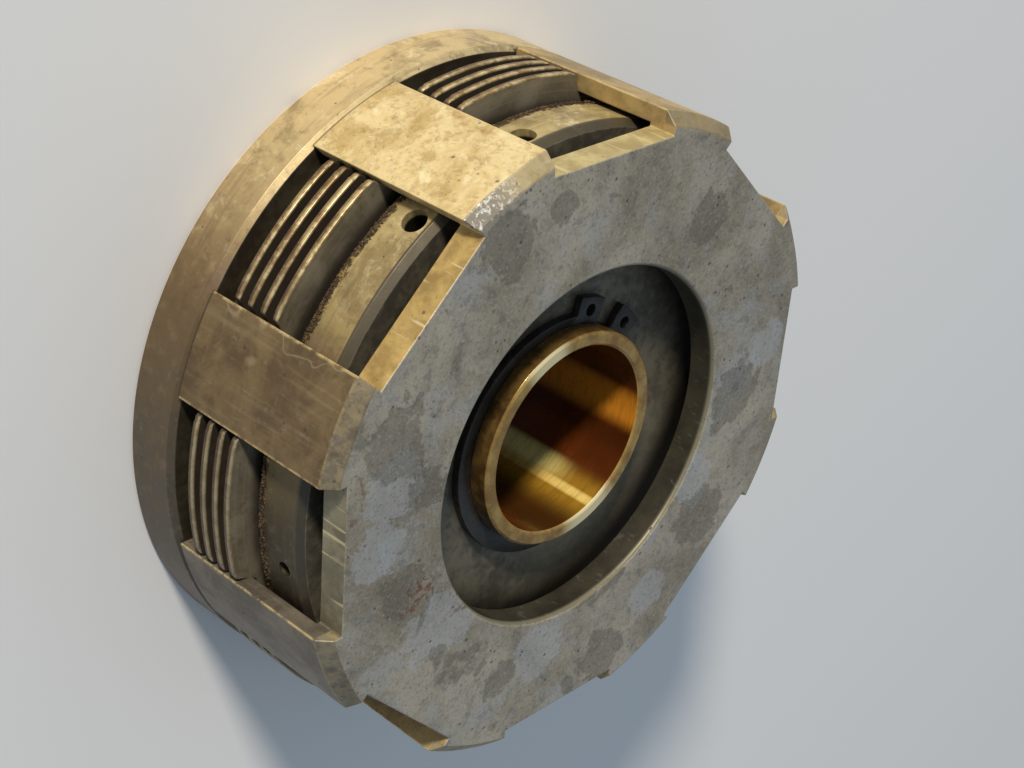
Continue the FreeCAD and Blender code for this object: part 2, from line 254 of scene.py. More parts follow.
def prisms(name: str, outlines: np.ndarray, bottom: float, top: float) -> bpy.types.Object:
    """Several separate flat outlines with as many points each, raised from one height to another."""
    many, count = outlines.shape[:2]
    points = np.stack([at_height(outlines, bottom), at_height(outlines, top)], axis=1)
    numbers = np.arange(many * 2 * count).reshape(many, 2, count)
    return solid(name, points.reshape(-1, 3), walls_and_ends(numbers))


def round_outlines(radius: float, distance: float, *angles: float) -> np.ndarray:
    """Circles of a radius, their middles at a distance from the shaft axis and at angles in degrees."""
    return repeated(arc(radius, 0, 350, 36) + (distance, 0.0), angles)


def radial_rods(name: str, radius: float, inner: float, outer: float, z: float,
                angles: Sequence[float], sides: int = 48) -> bpy.types.Object:
    """Round rods that lie along rays from the axis: a circle of the radius, swept from inner to outer."""
    circle = arc(radius, 0, 360 - 360 / sides, sides)
    rods = []
    for angle in angles:
        for reach in (inner, outer):
            ends = np.stack([np.full(sides, reach), circle[:, 0], z + circle[:, 1]], axis=-1)
            rods.append(spun(ends, angle))
    numbers = np.arange(len(rods) * sides).reshape(-1, 2, sides)
    return solid(name, np.concatenate(rods), walls_and_ends(numbers))


def settled(thing: bpy.types.Object) -> bpy.types.Object:
    """The object with its modifiers worked into its mesh."""
    shown = thing.evaluated_get(bpy.context.evaluated_depsgraph_get())
    mesh = bpy.data.meshes.new_from_object(shown)
    thing.modifiers.clear()
    thing.data = mesh
    return thing


def carved(thing: bpy.types.Object, *cutters: bpy.types.Object) -> bpy.types.Object:
    """The object with the cutters' room taken out of it; the cutters are removed."""
    for cutter in cutters:
        cut = thing.modifiers.new("cut", "BOOLEAN")
        cut.operation = "DIFFERENCE"
        cut.solver = "EXACT"
        cut.object = cutter
    settled(thing)
    for cutter in cutters:
        bpy.data.objects.remove(cutter)
    smooth(thing.data)
    return thing


def evened(thing: bpy.types.Object, sharp: float = 35.0) -> bpy.types.Object:
    """Flat faces stay flat beside rounded edges, and edges above an angle stay sharp."""
    thing.data.set_sharp_from_angle(angle=math.radians(sharp))
    even = thing.modifiers.new("even shading", "WEIGHTED_NORMAL")
    even.keep_sharp = True
    even.weight = 80
    return thing


def eased(thing: bpy.types.Object, width: float, segments: int = 3) -> bpy.types.Object:
    """Every edge above 30 degrees gets a small round of a width in millimetres."""
    edge = thing.modifiers.new("eased edges", "BEVEL")
    edge.limit_method = "ANGLE"
    edge.angle_limit = math.radians(30)
    edge.width = width * MM
    edge.segments = segments
    edge.use_clamp_overlap = False
    edge.harden_normals = True
    return thing


def merged_copy(name: str, node: str) -> bpy.types.Object:
    """New object with a CAD node's shape, its loose triangles joined and flat faces made whole."""
    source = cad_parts[node].data
    shape = bmesh.new()
    shape.from_mesh(source)
    bmesh.ops.remove_doubles(shape, verts=shape.verts, dist=0.002 * MM)
    bmesh.ops.dissolve_limit(shape, angle_limit=math.radians(0.5), verts=shape.verts, edges=shape.edges)
    mesh = bpy.data.meshes.new(name)
    shape.to_mesh(mesh)
    shape.free()
    smooth(mesh)
    return placed(name, mesh)


# Finishes

def tint(red: int, green: int, blue: int) -> tuple[float, float, float, float]:
    """Colour as seen on a screen, 0 to 255 each, as linear light with full cover."""
    seen = np.array([red, green, blue]) / 255.0
    light = np.where(seen <= 0.04045, seen / 12.92, ((seen + 0.055) / 1.055) ** 2.4)
    return (*(float(part) for part in light), 1.0)


Input = Union["Value", float, tuple]


class Value:
    """An output of a material's node sheet, with arithmetic on it."""

    def __init__(self, sheet: "Sheet", socket: bpy.types.NodeSocket) -> None:
        self.sheet = sheet
        self.socket = socket

    def __add__(self, other: Input) -> "Value":
        """Sum."""
        return self.sheet.maths("ADD", self, other)

    def __sub__(self, other: Input) -> "Value":
        """Difference."""
        return self.sheet.maths("SUBTRACT", self, other)

    def __rsub__(self, other: Input) -> "Value":
        """Difference from something else."""
        return self.sheet.maths("SUBTRACT", other, self)

    def __mul__(self, other: Input) -> "Value":
        """Product."""
        return self.sheet.maths("MULTIPLY", self, other)

    def __truediv__(self, other: Input) -> "Value":
        """Quotient."""
        return self.sheet.maths("DIVIDE", self, other)

    __radd__ = __add__
    __rmul__ = __mul__

    def between(self, low: float, high: float) -> "Value":
        """Smooth step from 0 at low to 1 at high; low may be the larger one."""
        if low > high:
            return 1.0 - self.between(high, low)
        return self.sheet.node("ShaderNodeMapRange", {"interpolation_type": "SMOOTHSTEP"},
                               {"Value": self, "From Min": low, "From Max": high})

    def at_least(self, other: Input) -> "Value":
        """Larger of the two."""
        return self.sheet.maths("MAXIMUM", self, other)


class Sheet:
    """Node tree of one material, which reads the piece's own coordinates in millimetres."""

    def __init__(self, name: str) -> None:
        self.material = bpy.data.materials.new(name)
        self.material.use_nodes = True
        self.tree = self.material.node_tree
        self.tree.nodes.clear()
        place = self.node("ShaderNodeTexCoord", {}, {}, "Object")
        self.where = self.node("ShaderNodeVectorMath", {"operation": "SCALE"}, {0: place, "Scale": 1 / MM})
        self.x, self.y, self.z = self.parts(self.where)
        self.radius = self.maths("SQRT", self.x * self.x + self.y * self.y)

    def node(self, kind: str, settings: dict, inputs: dict, output: Union[int, str] = 0) -> Value:
        """Any node.

        Args:
            kind: Blender's name of the node type.
            settings: the node's own settings.
            inputs: what goes into each input, by name or number.
            output: which output is wanted.

        Returns:
            That output as a value.
        """
        made = self.tree.nodes.new(kind)
        for key, choice in settings.items():
            setattr(made, key, choice)
        for key, given in inputs.items():
            if isinstance(given, Value):
                self.tree.links.new(given.socket, made.inputs[key])
            else:
                made.inputs[key].default_value = given
        return Value(self, made.outputs[output])

    def maths(self, operation: str, first: Input, second: Input = 0.0) -> Value:
        """Arithmetic on one or two numbers."""
        return self.node("ShaderNodeMath", {"operation": operation}, {0: first, 1: second})

    def parts(self, vector: Value) -> tuple[Value, Value, Value]:
        """The three parts of a vector."""
        first = self.node("ShaderNodeSeparateXYZ", {}, {0: vector}, 0)
        outputs = first.socket.node.outputs
        return first, Value(self, outputs[1]), Value(self, outputs[2])

    def stretched(self, x: float, y: float, z: float, where: Optional[Value] = None) -> Value:
        """The piece's coordinates, or others, each multiplied by its own number."""
        return self.node("ShaderNodeVectorMath", {"operation": "MULTIPLY"},
                         {0: where or self.where, 1: (x, y, z)})

    def noise(self, size: float, detail: float = 3.0, rough: float = 0.5, warp: float = 0.0,
              where: Optional[Value] = None, seed: float = 0.0) -> Value:
        """Cloudy noise from 0 to 1, with patches of about a size in millimetres."""
        return self.node("ShaderNodeTexNoise", {"noise_dimensions": "4D"}, {
            "Vector": where or self.where, "W": seed, "Scale": 1.0 / size, "Detail": detail,
            "Roughness": rough, "Distortion": warp,
        })

    def grooves(self, along: Value, density: float, rough: float) -> Value:
        """Noise from 0 to 1 along one length, like grooves of turning; density is their number per mm."""
        return self.node("ShaderNodeTexNoise", {"noise_dimensions": "1D"},
                         {"W": along, "Scale": density, "Detail": 3.0, "Roughness": rough})

    def cells(self, size: float, output: Union[int, str] = 0) -> Value:
        """Points scattered about a size apart in millimetres: distance to the nearest, or another output."""
        return self.node("ShaderNodeTexVoronoi", {}, {"Vector": self.where, "Scale": 1.0 / size}, output)

    def dots(self, size: float, edge: tuple[float, float], chosen: tuple[float, float]) -> Value:
        """Scattered dots, of which chance leaves some out.

        Args:
            size: about how far apart the dots are in millimetres.
            edge: distances from a dot's middle, as shares of the size, where it is 0 and where it is 1.
            chosen: numbers from 0 to 1 that a dot draws by chance to be left out or to be there in full.

        Returns:
            1 on a dot and 0 beside it.
        """
        return self.cells(size).between(*edge) * self.parts(self.cells(size, "Color"))[0].between(*chosen)

    def mix(self, share: Input, first: Input, second: Input) -> Value:
        """Colour that goes from the first to the second with the share."""
        return self.node("ShaderNodeMix", {"data_type": "RGBA"}, {0: share, 6: first, 7: second}, 2)

    def coats(self, base: Input, *layers: tuple[Input, Input]) -> Value:
        """A base colour under layers, lowest first, each given by the share it covers and its colour."""
        for share, colour in layers:
            base = self.mix(share, base, colour)
        return base

    def towards(self, angle: float, half_width: float, soft: float = 2.0) -> Value:
        """1 within an angle about the shaft axis, 0 outside it, with a soft edge in degrees."""
        turn = math.radians(angle)
        cosine = (self.x * math.cos(turn) + self.y * math.sin(turn)) / self.radius.at_least(0.01)
        return cosine.between(*(math.cos(math.radians(half_width + play)) for play in (soft, -soft)))

    def across(self, count: int) -> Value:
        """Distance from the middle plane of the nearest of count equal sectors, the first of them at +X."""
        pitch = 2 * math.pi / count
        turned_to = self.maths("ARCTAN2", self.y, self.x) + pitch / 2
        local = self.maths("FLOORED_MODULO", turned_to, pitch) - pitch / 2
        return self.radius * self.maths("ABSOLUTE", self.maths("SINE", local))

    def scratches(self, size: float, angle: float, seed: float) -> Value:
        """Fine straight scratches along a direction in the plane square to the axis, 1 on a scratch."""
        turned_to = self.node("ShaderNodeVectorRotate", {"rotation_type": "Z_AXIS"},
                              {"Vector": self.where, "Angle": math.radians(angle)})
        long = self.stretched(0.04, 1.0, 0.3, turned_to)
        return self.noise(size, 2.0, 0.6, 0.2, long, seed).between(0.62, 0.7)

    def finish(self, colour: Input, rough: Input, metal: Input, height: Optional[Value] = None,
               depth: float = 0.05, coat: float = 0.0) -> bpy.types.Material:
        """Closes the sheet with one surface.

        Args:
            colour: base colour.
            rough: roughness.
            metal: metallic share.
            height: height of the relief, from 0 to 1.
            depth: depth of the relief in millimetres.
            coat: weight of a clear coat.

        Returns:
            The material.
        """
        inputs = {"Base Color": colour, "Roughness": rough, "Metallic": metal, "Coat Weight": coat}
        if height is not None:
            inputs["Normal"] = self.node("ShaderNodeBump", {}, {"Strength": 1.0, "Distance": depth * MM,
                                                                "Height": height})
        surface = self.node("ShaderNodeBsdfPrincipled", {}, inputs)
        end = self.tree.nodes.new("ShaderNodeOutputMaterial")
        self.tree.links.new(surface.socket, end.inputs["Surface"])
        return self.material


class Place(Enum):
    """Azimuths of the cage's faces, counter-clockwise from +X. The names give the colour each face is
    painted, partly its own tone and partly painted light: lightest towards the lamp, darker away from it.
    """

    BRIGHT_FINGER = -67.5
    OLIVE_FINGER = -22.5
    PINK_FINGER = 22.5
    GOLD_FINGER = -112.5
    PALE_WINDOW = -90.0
    GOLD_WINDOW = -45.0
    KHAKI_WINDOW = 0.0


@dataclass(frozen=True)
class WornCage:
    """Cage: machined steel front with olive stains and pits, worn yellow fingers, each in its own shade,
    which is partly its own tone and partly painted light by azimuth; painted shade darkens the wall of the
    hole and the undersides.

    Stains, smears and the rust mark are given by x, y and radius.
    """

    finger_half_angle: float = 17.5
    window_half_angle: float = 18.0
    foot_radius: float = 63.9
    plate_rear_z: float = 48.3
    stains: tuple = (
        (26.0, -52.0, 6.5), (13.0, -55.0, 3.4), (51.0, -20.0, 7.0), (42.5, -8.0, 4.6), (-47.0, 4.0, 7.0),
        (-39.5, 31.0, 7.5), (-12.0, 55.0, 6.0), (20.0, 47.0, 4.5), (48.0, 12.0, 5.0), (-30.0, -42.0, 5.5),
    )
    smears: tuple = (
        (50.0, -11.0, 7.0), (54.0, 1.0, 6.5), (37.0, 25.0, 8.0), (-36.0, 22.0, 6.0), (8.0, 45.0, 7.0),
        (-55.0, -5.0, 5.0), (-25.0, 46.0, 5.5),
    )
    rust_mark: tuple = (43.4, 15.4, 3.6)

    def spot(self, sheet: Sheet, warp: Value, x: float, y: float, across: float) -> Value:
        """1 inside a circle of the front face, whose edge a noise pushes in and out."""
        along, up = (sheet.x - x) / across, (sheet.y - y) / across
        return (sheet.maths("SQRT", along * along + up * up) + (warp - 0.5) * 2.6).between(1.04, 0.94)

    def own_shades(self, sheet: Sheet, half_angle: float, soft: float, share: Value, shades: dict) -> list:
        """Layers that give each place its own two shades, mixed by a share."""
        return [(sheet.towards(place.value, half_angle, soft), sheet.mix(share, *pair))
                for place, pair in shades.items()]

    def front(self, sheet: Sheet) -> Value:
        """Colour of the front face."""
        cloud = sheet.noise(30.0, 5.0, 0.6, 0.5, seed=1.0)
        blue = sheet.noise(16.0, 6.0, 0.65, 0.3, seed=2.0)
        small = sheet.noise(3.2, 6.0, 0.74, 0.3, seed=2.6)
        pale = sheet.noise(4.6, 6.0, 0.76, 0.3, seed=2.9)
        warp = sheet.noise(6.0, 5.0, 0.62, 0.4, seed=3.3)
        streaky = sheet.noise(5.0, 6.0, 0.75, 0.6, seed=3.8)
        smear = reduce(Value.at_least, [self.spot(sheet, streaky, *spot) for spot in self.smears])
        patch = sheet.noise(19.0, 4.0, 0.55, 0.5, seed=3.6).between(0.6, 0.63)
        patch = reduce(Value.at_least, [self.spot(sheet, warp, *spot) for spot in self.stains], patch)
        rust = sheet.noise(5.0, 5.0, 0.65, 0.8, seed=7.0).between(0.62, 0.7) * sheet.towards(20.0, 40.0, 18.0)
        vein = sheet.noise(3.0, 3.0, 0.6, 0.8, seed=7.2)
        mark = vein.between(0.47, 0.5) * vein.between(0.56, 0.53) * self.spot(sheet, warp, *self.rust_mark)
        grit = sheet.noise(0.7, 4.0, 0.8, seed=7.5)
        return sheet.coats(
            tint(140, 128, 108),
            (cloud.between(0.36, 0.64), tint(180, 168, 148)),
            (blue.between(0.5, 0.66) * 0.6, tint(168, 168, 167)),
            (small.between(0.48, 0.66) * 0.5, tint(98, 95, 87)),
            (pale.between(0.5, 0.68) * 0.45, tint(166, 163, 156)),
            (smear * 0.4, tint(186, 187, 189)),
            (patch * 0.5, tint(98, 91, 75)),
            (rust * 0.6, tint(112, 66, 46)),
            (mark * 0.75, tint(118, 62, 40)),
            (grit.between(0.52, 0.68) * 0.6, tint(78, 71, 60)),
            (grit.between(0.46, 0.3) * 0.6, tint(198, 192, 178)),
        )

    def fingers(self, sheet: Sheet) -> Value:
        """Colour of the outer faces of the fingers and of their side walls."""
        half = self.finger_half_angle
        mottle = sheet.noise(8.0, 6.0, 0.66, 0.5, seed=4.0)
        fine = sheet.noise(1.8, 5.0, 0.7, 0.2, seed=5.0)
        # Each finger's two shades are partly its own tone and partly painted light: lightest on the finger
        # that faces the lamp, darker on those turned away.
        own = self.own_shades(sheet, half, 1.5, mottle.between(0.38, 0.64), {
            Place.BRIGHT_FINGER: (tint(222, 199, 146), tint(190, 161, 102)),
            Place.OLIVE_FINGER: (tint(112, 92, 60), tint(84, 66, 42)),
            Place.PINK_FINGER: (tint(114, 104, 90), tint(84, 76, 66)),
            Place.GOLD_FINGER: (tint(186, 158, 104), tint(142, 118, 74)),
        })
        thin = sheet.noise(24.0, 2.0, 0.5, 0.9, seed=5.7)
        line = thin.between(0.5, 0.506) * thin.between(0.516, 0.508)
        line = line * sheet.towards(Place.OLIVE_FINGER.value, half)
        bright = sheet.towards(Place.BRIGHT_FINGER.value, half)
        worn = sheet.noise(3.2, 6.0, 0.8, 0.3, seed=5.1).between(0.5, 0.6)
        # Painted highlight: bright spots on the finger that faces the lamp.
        painted_highlight = sheet.noise(5.0, 6.0, 0.7, 0.5, seed=5.5).between(0.54, 0.66)
        grey = sheet.noise(3.0, 6.0, 0.7, 0.4, seed=5.3).between(0.58, 0.66)
        drawn = sheet.noise(1.4, 3.0, 0.6, 0.0, sheet.stretched(1.0, 1.0, 0.05), 5.9).between(0.5, 0.7)
        corner = sheet.across(FINGER_COUNT).between(WINDOW_WIDTH / 2 + 0.75, WINDOW_WIDTH / 2 + 0.3)
        corner = corner * sheet.radius.between(OUTER_RADIUS - 0.5, OUTER_RADIUS - 0.15)
        end = sheet.z.between(FRONT_Z - END_BEVEL - 0.6, FRONT_Z - END_BEVEL - 0.15)
        broken = sheet.noise(2.4, 4.0, 0.7, seed=5.8).between(0.38, 0.58)
        return sheet.coats(
            tint(168, 142, 92),
            (mottle.between(0.35, 0.65), tint(124, 104, 68)),
            *own,
            (line * 0.28, tint(172, 156, 124)),
            (worn * bright * 0.5, tint(160, 130, 74)),
            (fine.between(0.54, 0.62) * bright * 0.35, tint(136, 100, 56)),
            (painted_highlight * bright * 0.6, tint(240, 224, 178)),
            (grey * bright * 0.35, tint(150, 146, 134)),
            (drawn * 0.1, tint(190, 172, 132)),
            (fine.between(0.44, 0.3) * (0.06 + bright * 0.14), tint(206, 190, 150)),
            (corner.at_least(end * 0.6) * broken * 0.6, tint(212, 186, 128)),
            (sheet.z.between(RIM_Z + 0.6, RIM_Z + 0.25) * 0.85, tint(50, 40, 27)),
        )

    def ends(self, sheet: Sheet, fingers: Value) -> Value:
        """Colour of the bevelled front ends: the finger's shade, greyer, and bare steel on the bright one."""
        cloud = sheet.noise(5.0, 4.0, 0.6, seed=8.0).between(0.36, 0.66)
        bare = sheet.noise(0.8, 3.0, 0.6, seed=8.5).between(0.5, 0.62)
        steel = sheet.mix(bare * 0.8, tint(116, 111, 102), tint(222, 220, 214))
        return sheet.coats(
            fingers,
            (0.5, sheet.mix(cloud, tint(100, 94, 82), tint(128, 121, 107))),
            (sheet.towards(Place.BRIGHT_FINGER.value + 9.0, 7.0, 5.0) * 0.85, steel),
        )

    def flats(self, sheet: Sheet) -> Value:
        """Colour of the flats that the windows leave in the edge of the front plate."""
        cloud = sheet.noise(6.0, 5.0, 0.66, 0.4, seed=6.0).between(0.35, 0.65)
        # Each flat's two shades are partly its own tone and partly painted light: paler towards the lamp,
        # khaki away from it.
        own = self.own_shades(sheet, self.window_half_angle, 2.0, cloud, {
            Place.GOLD_WINDOW: (tint(188, 158, 94), tint(144, 116, 64)),
            Place.PALE_WINDOW: (tint(200, 182, 128), tint(164, 144, 94)),
            Place.KHAKI_WINDOW: (tint(132, 124, 100), tint(100, 94, 74)),
        })
        strokes = sheet.noise(1.0, 2.0, 0.6, 0.0, sheet.stretched(1.0, 1.0, 0.06), 6.5).between(0.6, 0.68)
        return sheet.coats(tint(160, 142, 94), (cloud, tint(122, 106, 70)), *own,
                           (strokes * 0.5, tint(226, 210, 164)))

    def material(self) -> bpy.types.Material:
        """Cage material."""
        sheet = Sheet("worn cage steel")
        bevel_z, bevel_radius = FRONT_Z - END_BEVEL, OUTER_RADIUS - END_BEVEL
        on_front = sheet.z.between(FRONT_Z - 0.25, FRONT_Z - 0.08)
        on_bevel = (sheet.z.between(bevel_z - 0.25, bevel_z - 0.05)
                    * sheet.radius.between(bevel_radius - 0.3, bevel_radius))
        in_hole = sheet.radius.between(HOLE_RADIUS + 0.5, HOLE_RADIUS + 0.2)
        # Painted shade: the wall of the hole is dark, lighter only near its front edge.
        hole = sheet.coats(
            tint(50, 45, 35),
            (sheet.noise(8.0, 4.0, 0.6, seed=9.0).between(0.35, 0.65), tint(70, 64, 50)),
            (sheet.z.between(FRONT_Z - 1.4, FRONT_Z - 0.5) * 0.5, tint(166, 157, 130)),
        )
        fingers = self.fingers(sheet)
        finger_inner = OUTER_RADIUS - FINGER_THICKNESS
        # Painted shade on the inner walls of the fingers and under the front plate.
        under_plate_shade = (sheet.radius.between(finger_inner + 0.4, finger_inner + 0.1)
                  * sheet.z.between(self.plate_rear_z + 0.3, self.plate_rear_z - 0.1))
        pits = sheet.dots(3.4, (0.15, 0.06), (0.6, 0.64))
        crowd = sheet.noise(9.0, 3.0, 0.6, 0.3, seed=9.5).between(0.58, 0.64)
        cluster = sheet.cells(1.7).between(0.26, 0.14) * crowd
        specks = sheet.dots(1.1, (0.24, 0.1), (0.8, 0.86))
        dark = pits.at_least(cluster * on_front).at_least(specks * 0.6)
        scratch = sheet.scratches(0.9, 32.0, 1.0).at_least(sheet.scratches(1.0, -51.0, 2.0))
        colour = sheet.coats(
            self.flats(sheet),
            (sheet.radius.between(self.foot_radius, self.foot_radius + 0.3), fingers),
            (in_hole, hole),
            (on_front, self.front(sheet)),
            (on_bevel, self.ends(sheet, fingers)),
            (under_plate_shade * 0.8, tint(48, 42, 34)),
            (dark * 0.7, tint(52, 47, 42)),
            (scratch * 0.07, tint(188, 186, 178)),
        )
        grain = sheet.noise(0.5, 3.0, 0.7, seed=11.0)
        relief = sheet.noise(2.6, 5.0, 0.66, seed=12.0)
        turning = sheet.grooves(sheet.radius, 2.2, 0.7)
        height = grain * 0.3 + relief * 0.7 + turning * 0.12 - dark * 0.9 - scratch * 0.2
        rough = 0.38 + sheet.noise(10.0, 4.0, 0.6, seed=13.0) * 0.2 + dark * 0.25
        return sheet.finish(colour, rough, 0.3 - dark * 0.2, height, 0.08)


@dataclass(frozen=True)
class YellowZinc:
    """Yellow-passivated zinc, iridescent in patches and browned by age.

    The colour goes round the axis as painted light and shade: lightest at one azimuth, browner and greyer
    away from it. The faces that look forward and the bevels have shades of their own: the magnet ring's dark
    front face is painted shade, and the armature's dark bevel is worn grey steel darkened by painted shade.
    The armature, which has a bevel here, also has a paler part of its face that is painted light, a
    near-black band of painted shade under the front plate between four given radii, and rust caked along its
    rear edge. Surfaces inward of the outer edge, between the rear and front faces, are painted near black as
    shade.
    """

    name: str
    outer_radius: float
    front_z: float
    bevel: float = 0.0
    rear_z: float = 0.0
    # light, middle and the shade tone are painted light and shade: the colour towards one azimuth, between,
    # and away from it.
    light: tuple = tint(212, 187, 136)
    middle: tuple = tint(116, 92, 60)
    painted_shade_tone: tuple = tint(84, 76, 64)
    # The default front and edge are dark: painted shade on the magnet ring's front face, behind the disc
    # pack.
    front: tuple = tint(60, 51, 38)
    edge: tuple = tint(78, 70, 54)
    painted_light_angle: float = -96.0
    # Azimuth of the painted light patch on the armature's face, and four radii of the band of painted shade
    # under the front plate.
    painted_light_patch_angle: float = 125.0
    painted_shade_radii: tuple = (34.0, 42.5, 55.0, 58.0)
    caked_height: float = 4.4

    def material(self) -> bpy.types.Material:
        """The zinc's material."""
        sheet = Sheet(self.name)
        mottle = sheet.noise(10.0, 6.0, 0.64, 0.6, seed=1.5)
        small = sheet.noise(2.6, 6.0, 0.7, 0.3, seed=2.5)
        # Painted light and shade: near is the side towards the lamp's azimuth, far the side away from it.
        near = sheet.towards(self.painted_light_angle, 40.0, 30.0)
        far = 1.0 - sheet.towards(self.painted_light_angle, 76.0, 26.0)
        pale = sheet.noise(5.0, 6.0, 0.76, 0.4, seed=3.1).between(0.53, 0.62)
        violet = sheet.noise(17.0, 4.0, 0.55, 0.9, seed=3.5).between(0.55, 0.66)
        worn = sheet.noise(1.6, 5.0, 0.72, seed=4.5).between(0.6, 0.68) * mottle.between(0.52, 0.38)
        specks = sheet.dots(1.9, (0.16, 0.07), (0.78, 0.82))
        drawn = sheet.noise(0.9, 3.0, 0.65, 0.0, sheet.stretched(0.06, 0.06, 1.0), 6.5)
        # The light specks and pale patches grow on the lamp's side: partly the zinc's own tone, partly
        # painted highlight.
        colour = sheet.coats(
            self.middle,
            (near, self.light),
            (far, self.painted_shade_tone),
            (mottle.between(0.46, 0.62) * 0.5, tint(104, 84, 56)),
            (small.between(0.5, 0.66) * (0.06 + near * 0.3), tint(226, 204, 152)),
            (small.between(0.46, 0.32) * 0.45, tint(84, 68, 46)),
            (pale * near * 0.55, tint(240, 222, 178)),
            (violet * 0.2, tint(132, 108, 112)),
            (worn * 0.6, tint(158, 154, 146)),
            (specks * 0.7, tint(62, 50, 36)),
            (drawn.between(0.5, 0.7) * 0.35, tint(92, 78, 50)),
        )
        face = sheet.mix((mottle * 0.5 + small * 0.5).between(0.42, 0.58), self.front, self.edge)
        if self.bevel:
            # Painted light: a paler part of the face at one azimuth. Painted shade: a near-black band under
            # the front plate.
            under = sheet.radius.between(*self.painted_shade_radii[:2]) * sheet.radius.between(*self.painted_shade_radii[:1:-1])
            face = sheet.coats(face, (sheet.towards(self.painted_light_patch_angle, 35.0, 25.0) * 0.3, tint(196, 182, 154)),
                               (under * 0.94, tint(15, 12, 10)))
            # The bevel is worn grey steel, darkened as painted shade.
            edge = sheet.z.between(self.front_z - self.bevel - 0.2, self.front_z - self.bevel + 0.1)
            brown = sheet.noise(1.8, 5.0, 0.72, 0.4, seed=7.5)
            caked = (sheet.z - self.rear_z - brown * self.caked_height).between(0.2, -0.2)
            flakes = sheet.noise(0.9, 4.0, 0.7, 0.4, seed=7.9).between(0.52, 0.58)
            colour = sheet.coats(colour, (edge * 0.9, sheet.mix(small, self.edge, self.painted_shade_tone)),
                                 (caked * 0.85, sheet.mix(flakes, tint(46, 34, 21), tint(150, 122, 72))))
        else:
            joint = (sheet.z.between(self.front_z - 0.7, self.front_z - 0.4)
                     * sheet.across(FINGER_COUNT).between(WINDOW_WIDTH / 2 - 0.2, WINDOW_WIDTH / 2 + 0.1))
            colour = sheet.mix(joint * 0.85, colour, tint(50, 40, 27))
        # Painted shade: near black on the surfaces inward of the outer edge, between the rear and front
        # faces, such as holes, pocket and grooves.
        within = (sheet.radius.between(self.outer_radius - 1.2, self.outer_radius - 1.8)
                  * sheet.z.between(self.rear_z + 0.4, self.rear_z + 1.0))
        forward = sheet.z.between(self.front_z - 0.16, self.front_z - 0.04)
        colour = sheet.coats(colour, (within, tint(34, 29, 23)), (forward, face))
        height = small * 0.6 + sheet.noise(0.6, 2.0, 0.6, seed=5.5) * 0.3 - specks * 0.8
        return sheet.finish(colour, 0.36 + small * 0.2 + specks * 0.3, 0.45, height, 0.06)


@dataclass(frozen=True)
class WornDisc:
    """Steel friction disc: a brown rim, its front edge worn bright and partly a painted highlight, and grey
    oiled faces with turned grooves. Painted shade darkens the rims away from the lamp, the back of each rim
    and the faces between the discs.

    The discs repeat along the axis, so a height's remainder by their pitch tells where on a rim it lies.
    """

    name: str
    rim_radius: float
    first_z: float
    last_z: float
    pitch: float
    thickness: float
    # The bright colour is the worn front edge, partly a painted highlight.
    bright: tuple = tint(206, 186, 138)
    rim: tuple = tint(150, 126, 84)
    flat: tuple = tint(128, 118, 98)

    def material(self) -> bpy.types.Material:
        """The disc's material."""
        sheet = Sheet(self.name)
        local = sheet.maths("MODULO", sheet.z - (self.first_z - self.pitch), self.pitch)
        edge = local.between(self.thickness * 0.48, self.thickness * 0.68)
        patch = sheet.noise(3.0, 6.0, 0.72, 0.4, seed=1.0)
        ragged = sheet.noise(2.6, 5.0, 0.72, 0.3, seed=2.0).between(0.34, 0.5)
        bright = sheet.mix(patch.between(0.4, 0.6), self.bright, tint(140, 112, 68))
        # Painted shade: the rims darken away from the lamp's side.
        far = 1.0 - sheet.towards(Place.BRIGHT_FINGER.value - 14.0, 44.0, 18.0)
        rim = sheet.coats(
            self.rim,
            (patch.between(0.38, 0.6), tint(92, 68, 42)),
            # Painted shadow at the back of each rim; the front edge band is worn and partly a painted
            # highlight.
            (local.between(self.thickness * 0.26, self.thickness * 0.14), tint(48, 37, 27)),
            (edge * (0.55 + 0.45 * ragged), bright),
            (far * 0.7, sheet.mix(edge, tint(56, 47, 37), tint(124, 112, 90))),
        )
        rings = sheet.grooves(sheet.radius, 1.6, 0.6)
        flat = sheet.coats(
            self.flat,
            (sheet.noise(9.0, 5.0, 0.66, 0.5, seed=3.0).between(0.36, 0.64), tint(96, 86, 68)),
            (rings.between(0.5, 0.66) * 0.25, tint(146, 138, 120)),
            (sheet.noise(2.6, 5.0, 0.7, seed=4.0).between(0.56, 0.68) * 0.5, tint(84, 64, 48)),
            # Painted shade: near black on the inner part of the faces, between the discs; the faces behind
            # the last disc are oil-dark brown and in painted shade.
            (sheet.radius.between(self.rim_radius - 4.2, self.rim_radius - 7.0) * 0.85, tint(40, 33, 29)),
            (sheet.z.between(self.last_z - 0.2, self.last_z - 0.6) * 0.85, tint(44, 33, 25)),
        )
        at_rim = sheet.radius.between(self.rim_radius - 0.5, self.rim_radius - 0.3)
        colour = sheet.mix(at_rim, flat, rim)
        height = rings * 0.2 + sheet.noise(0.8, 3.0, 0.6, seed=5.0) * 0.5
        return sheet.finish(colour, 0.46 - at_rim * 0.08, 0.15 + at_rim * 0.2, height, 0.04)


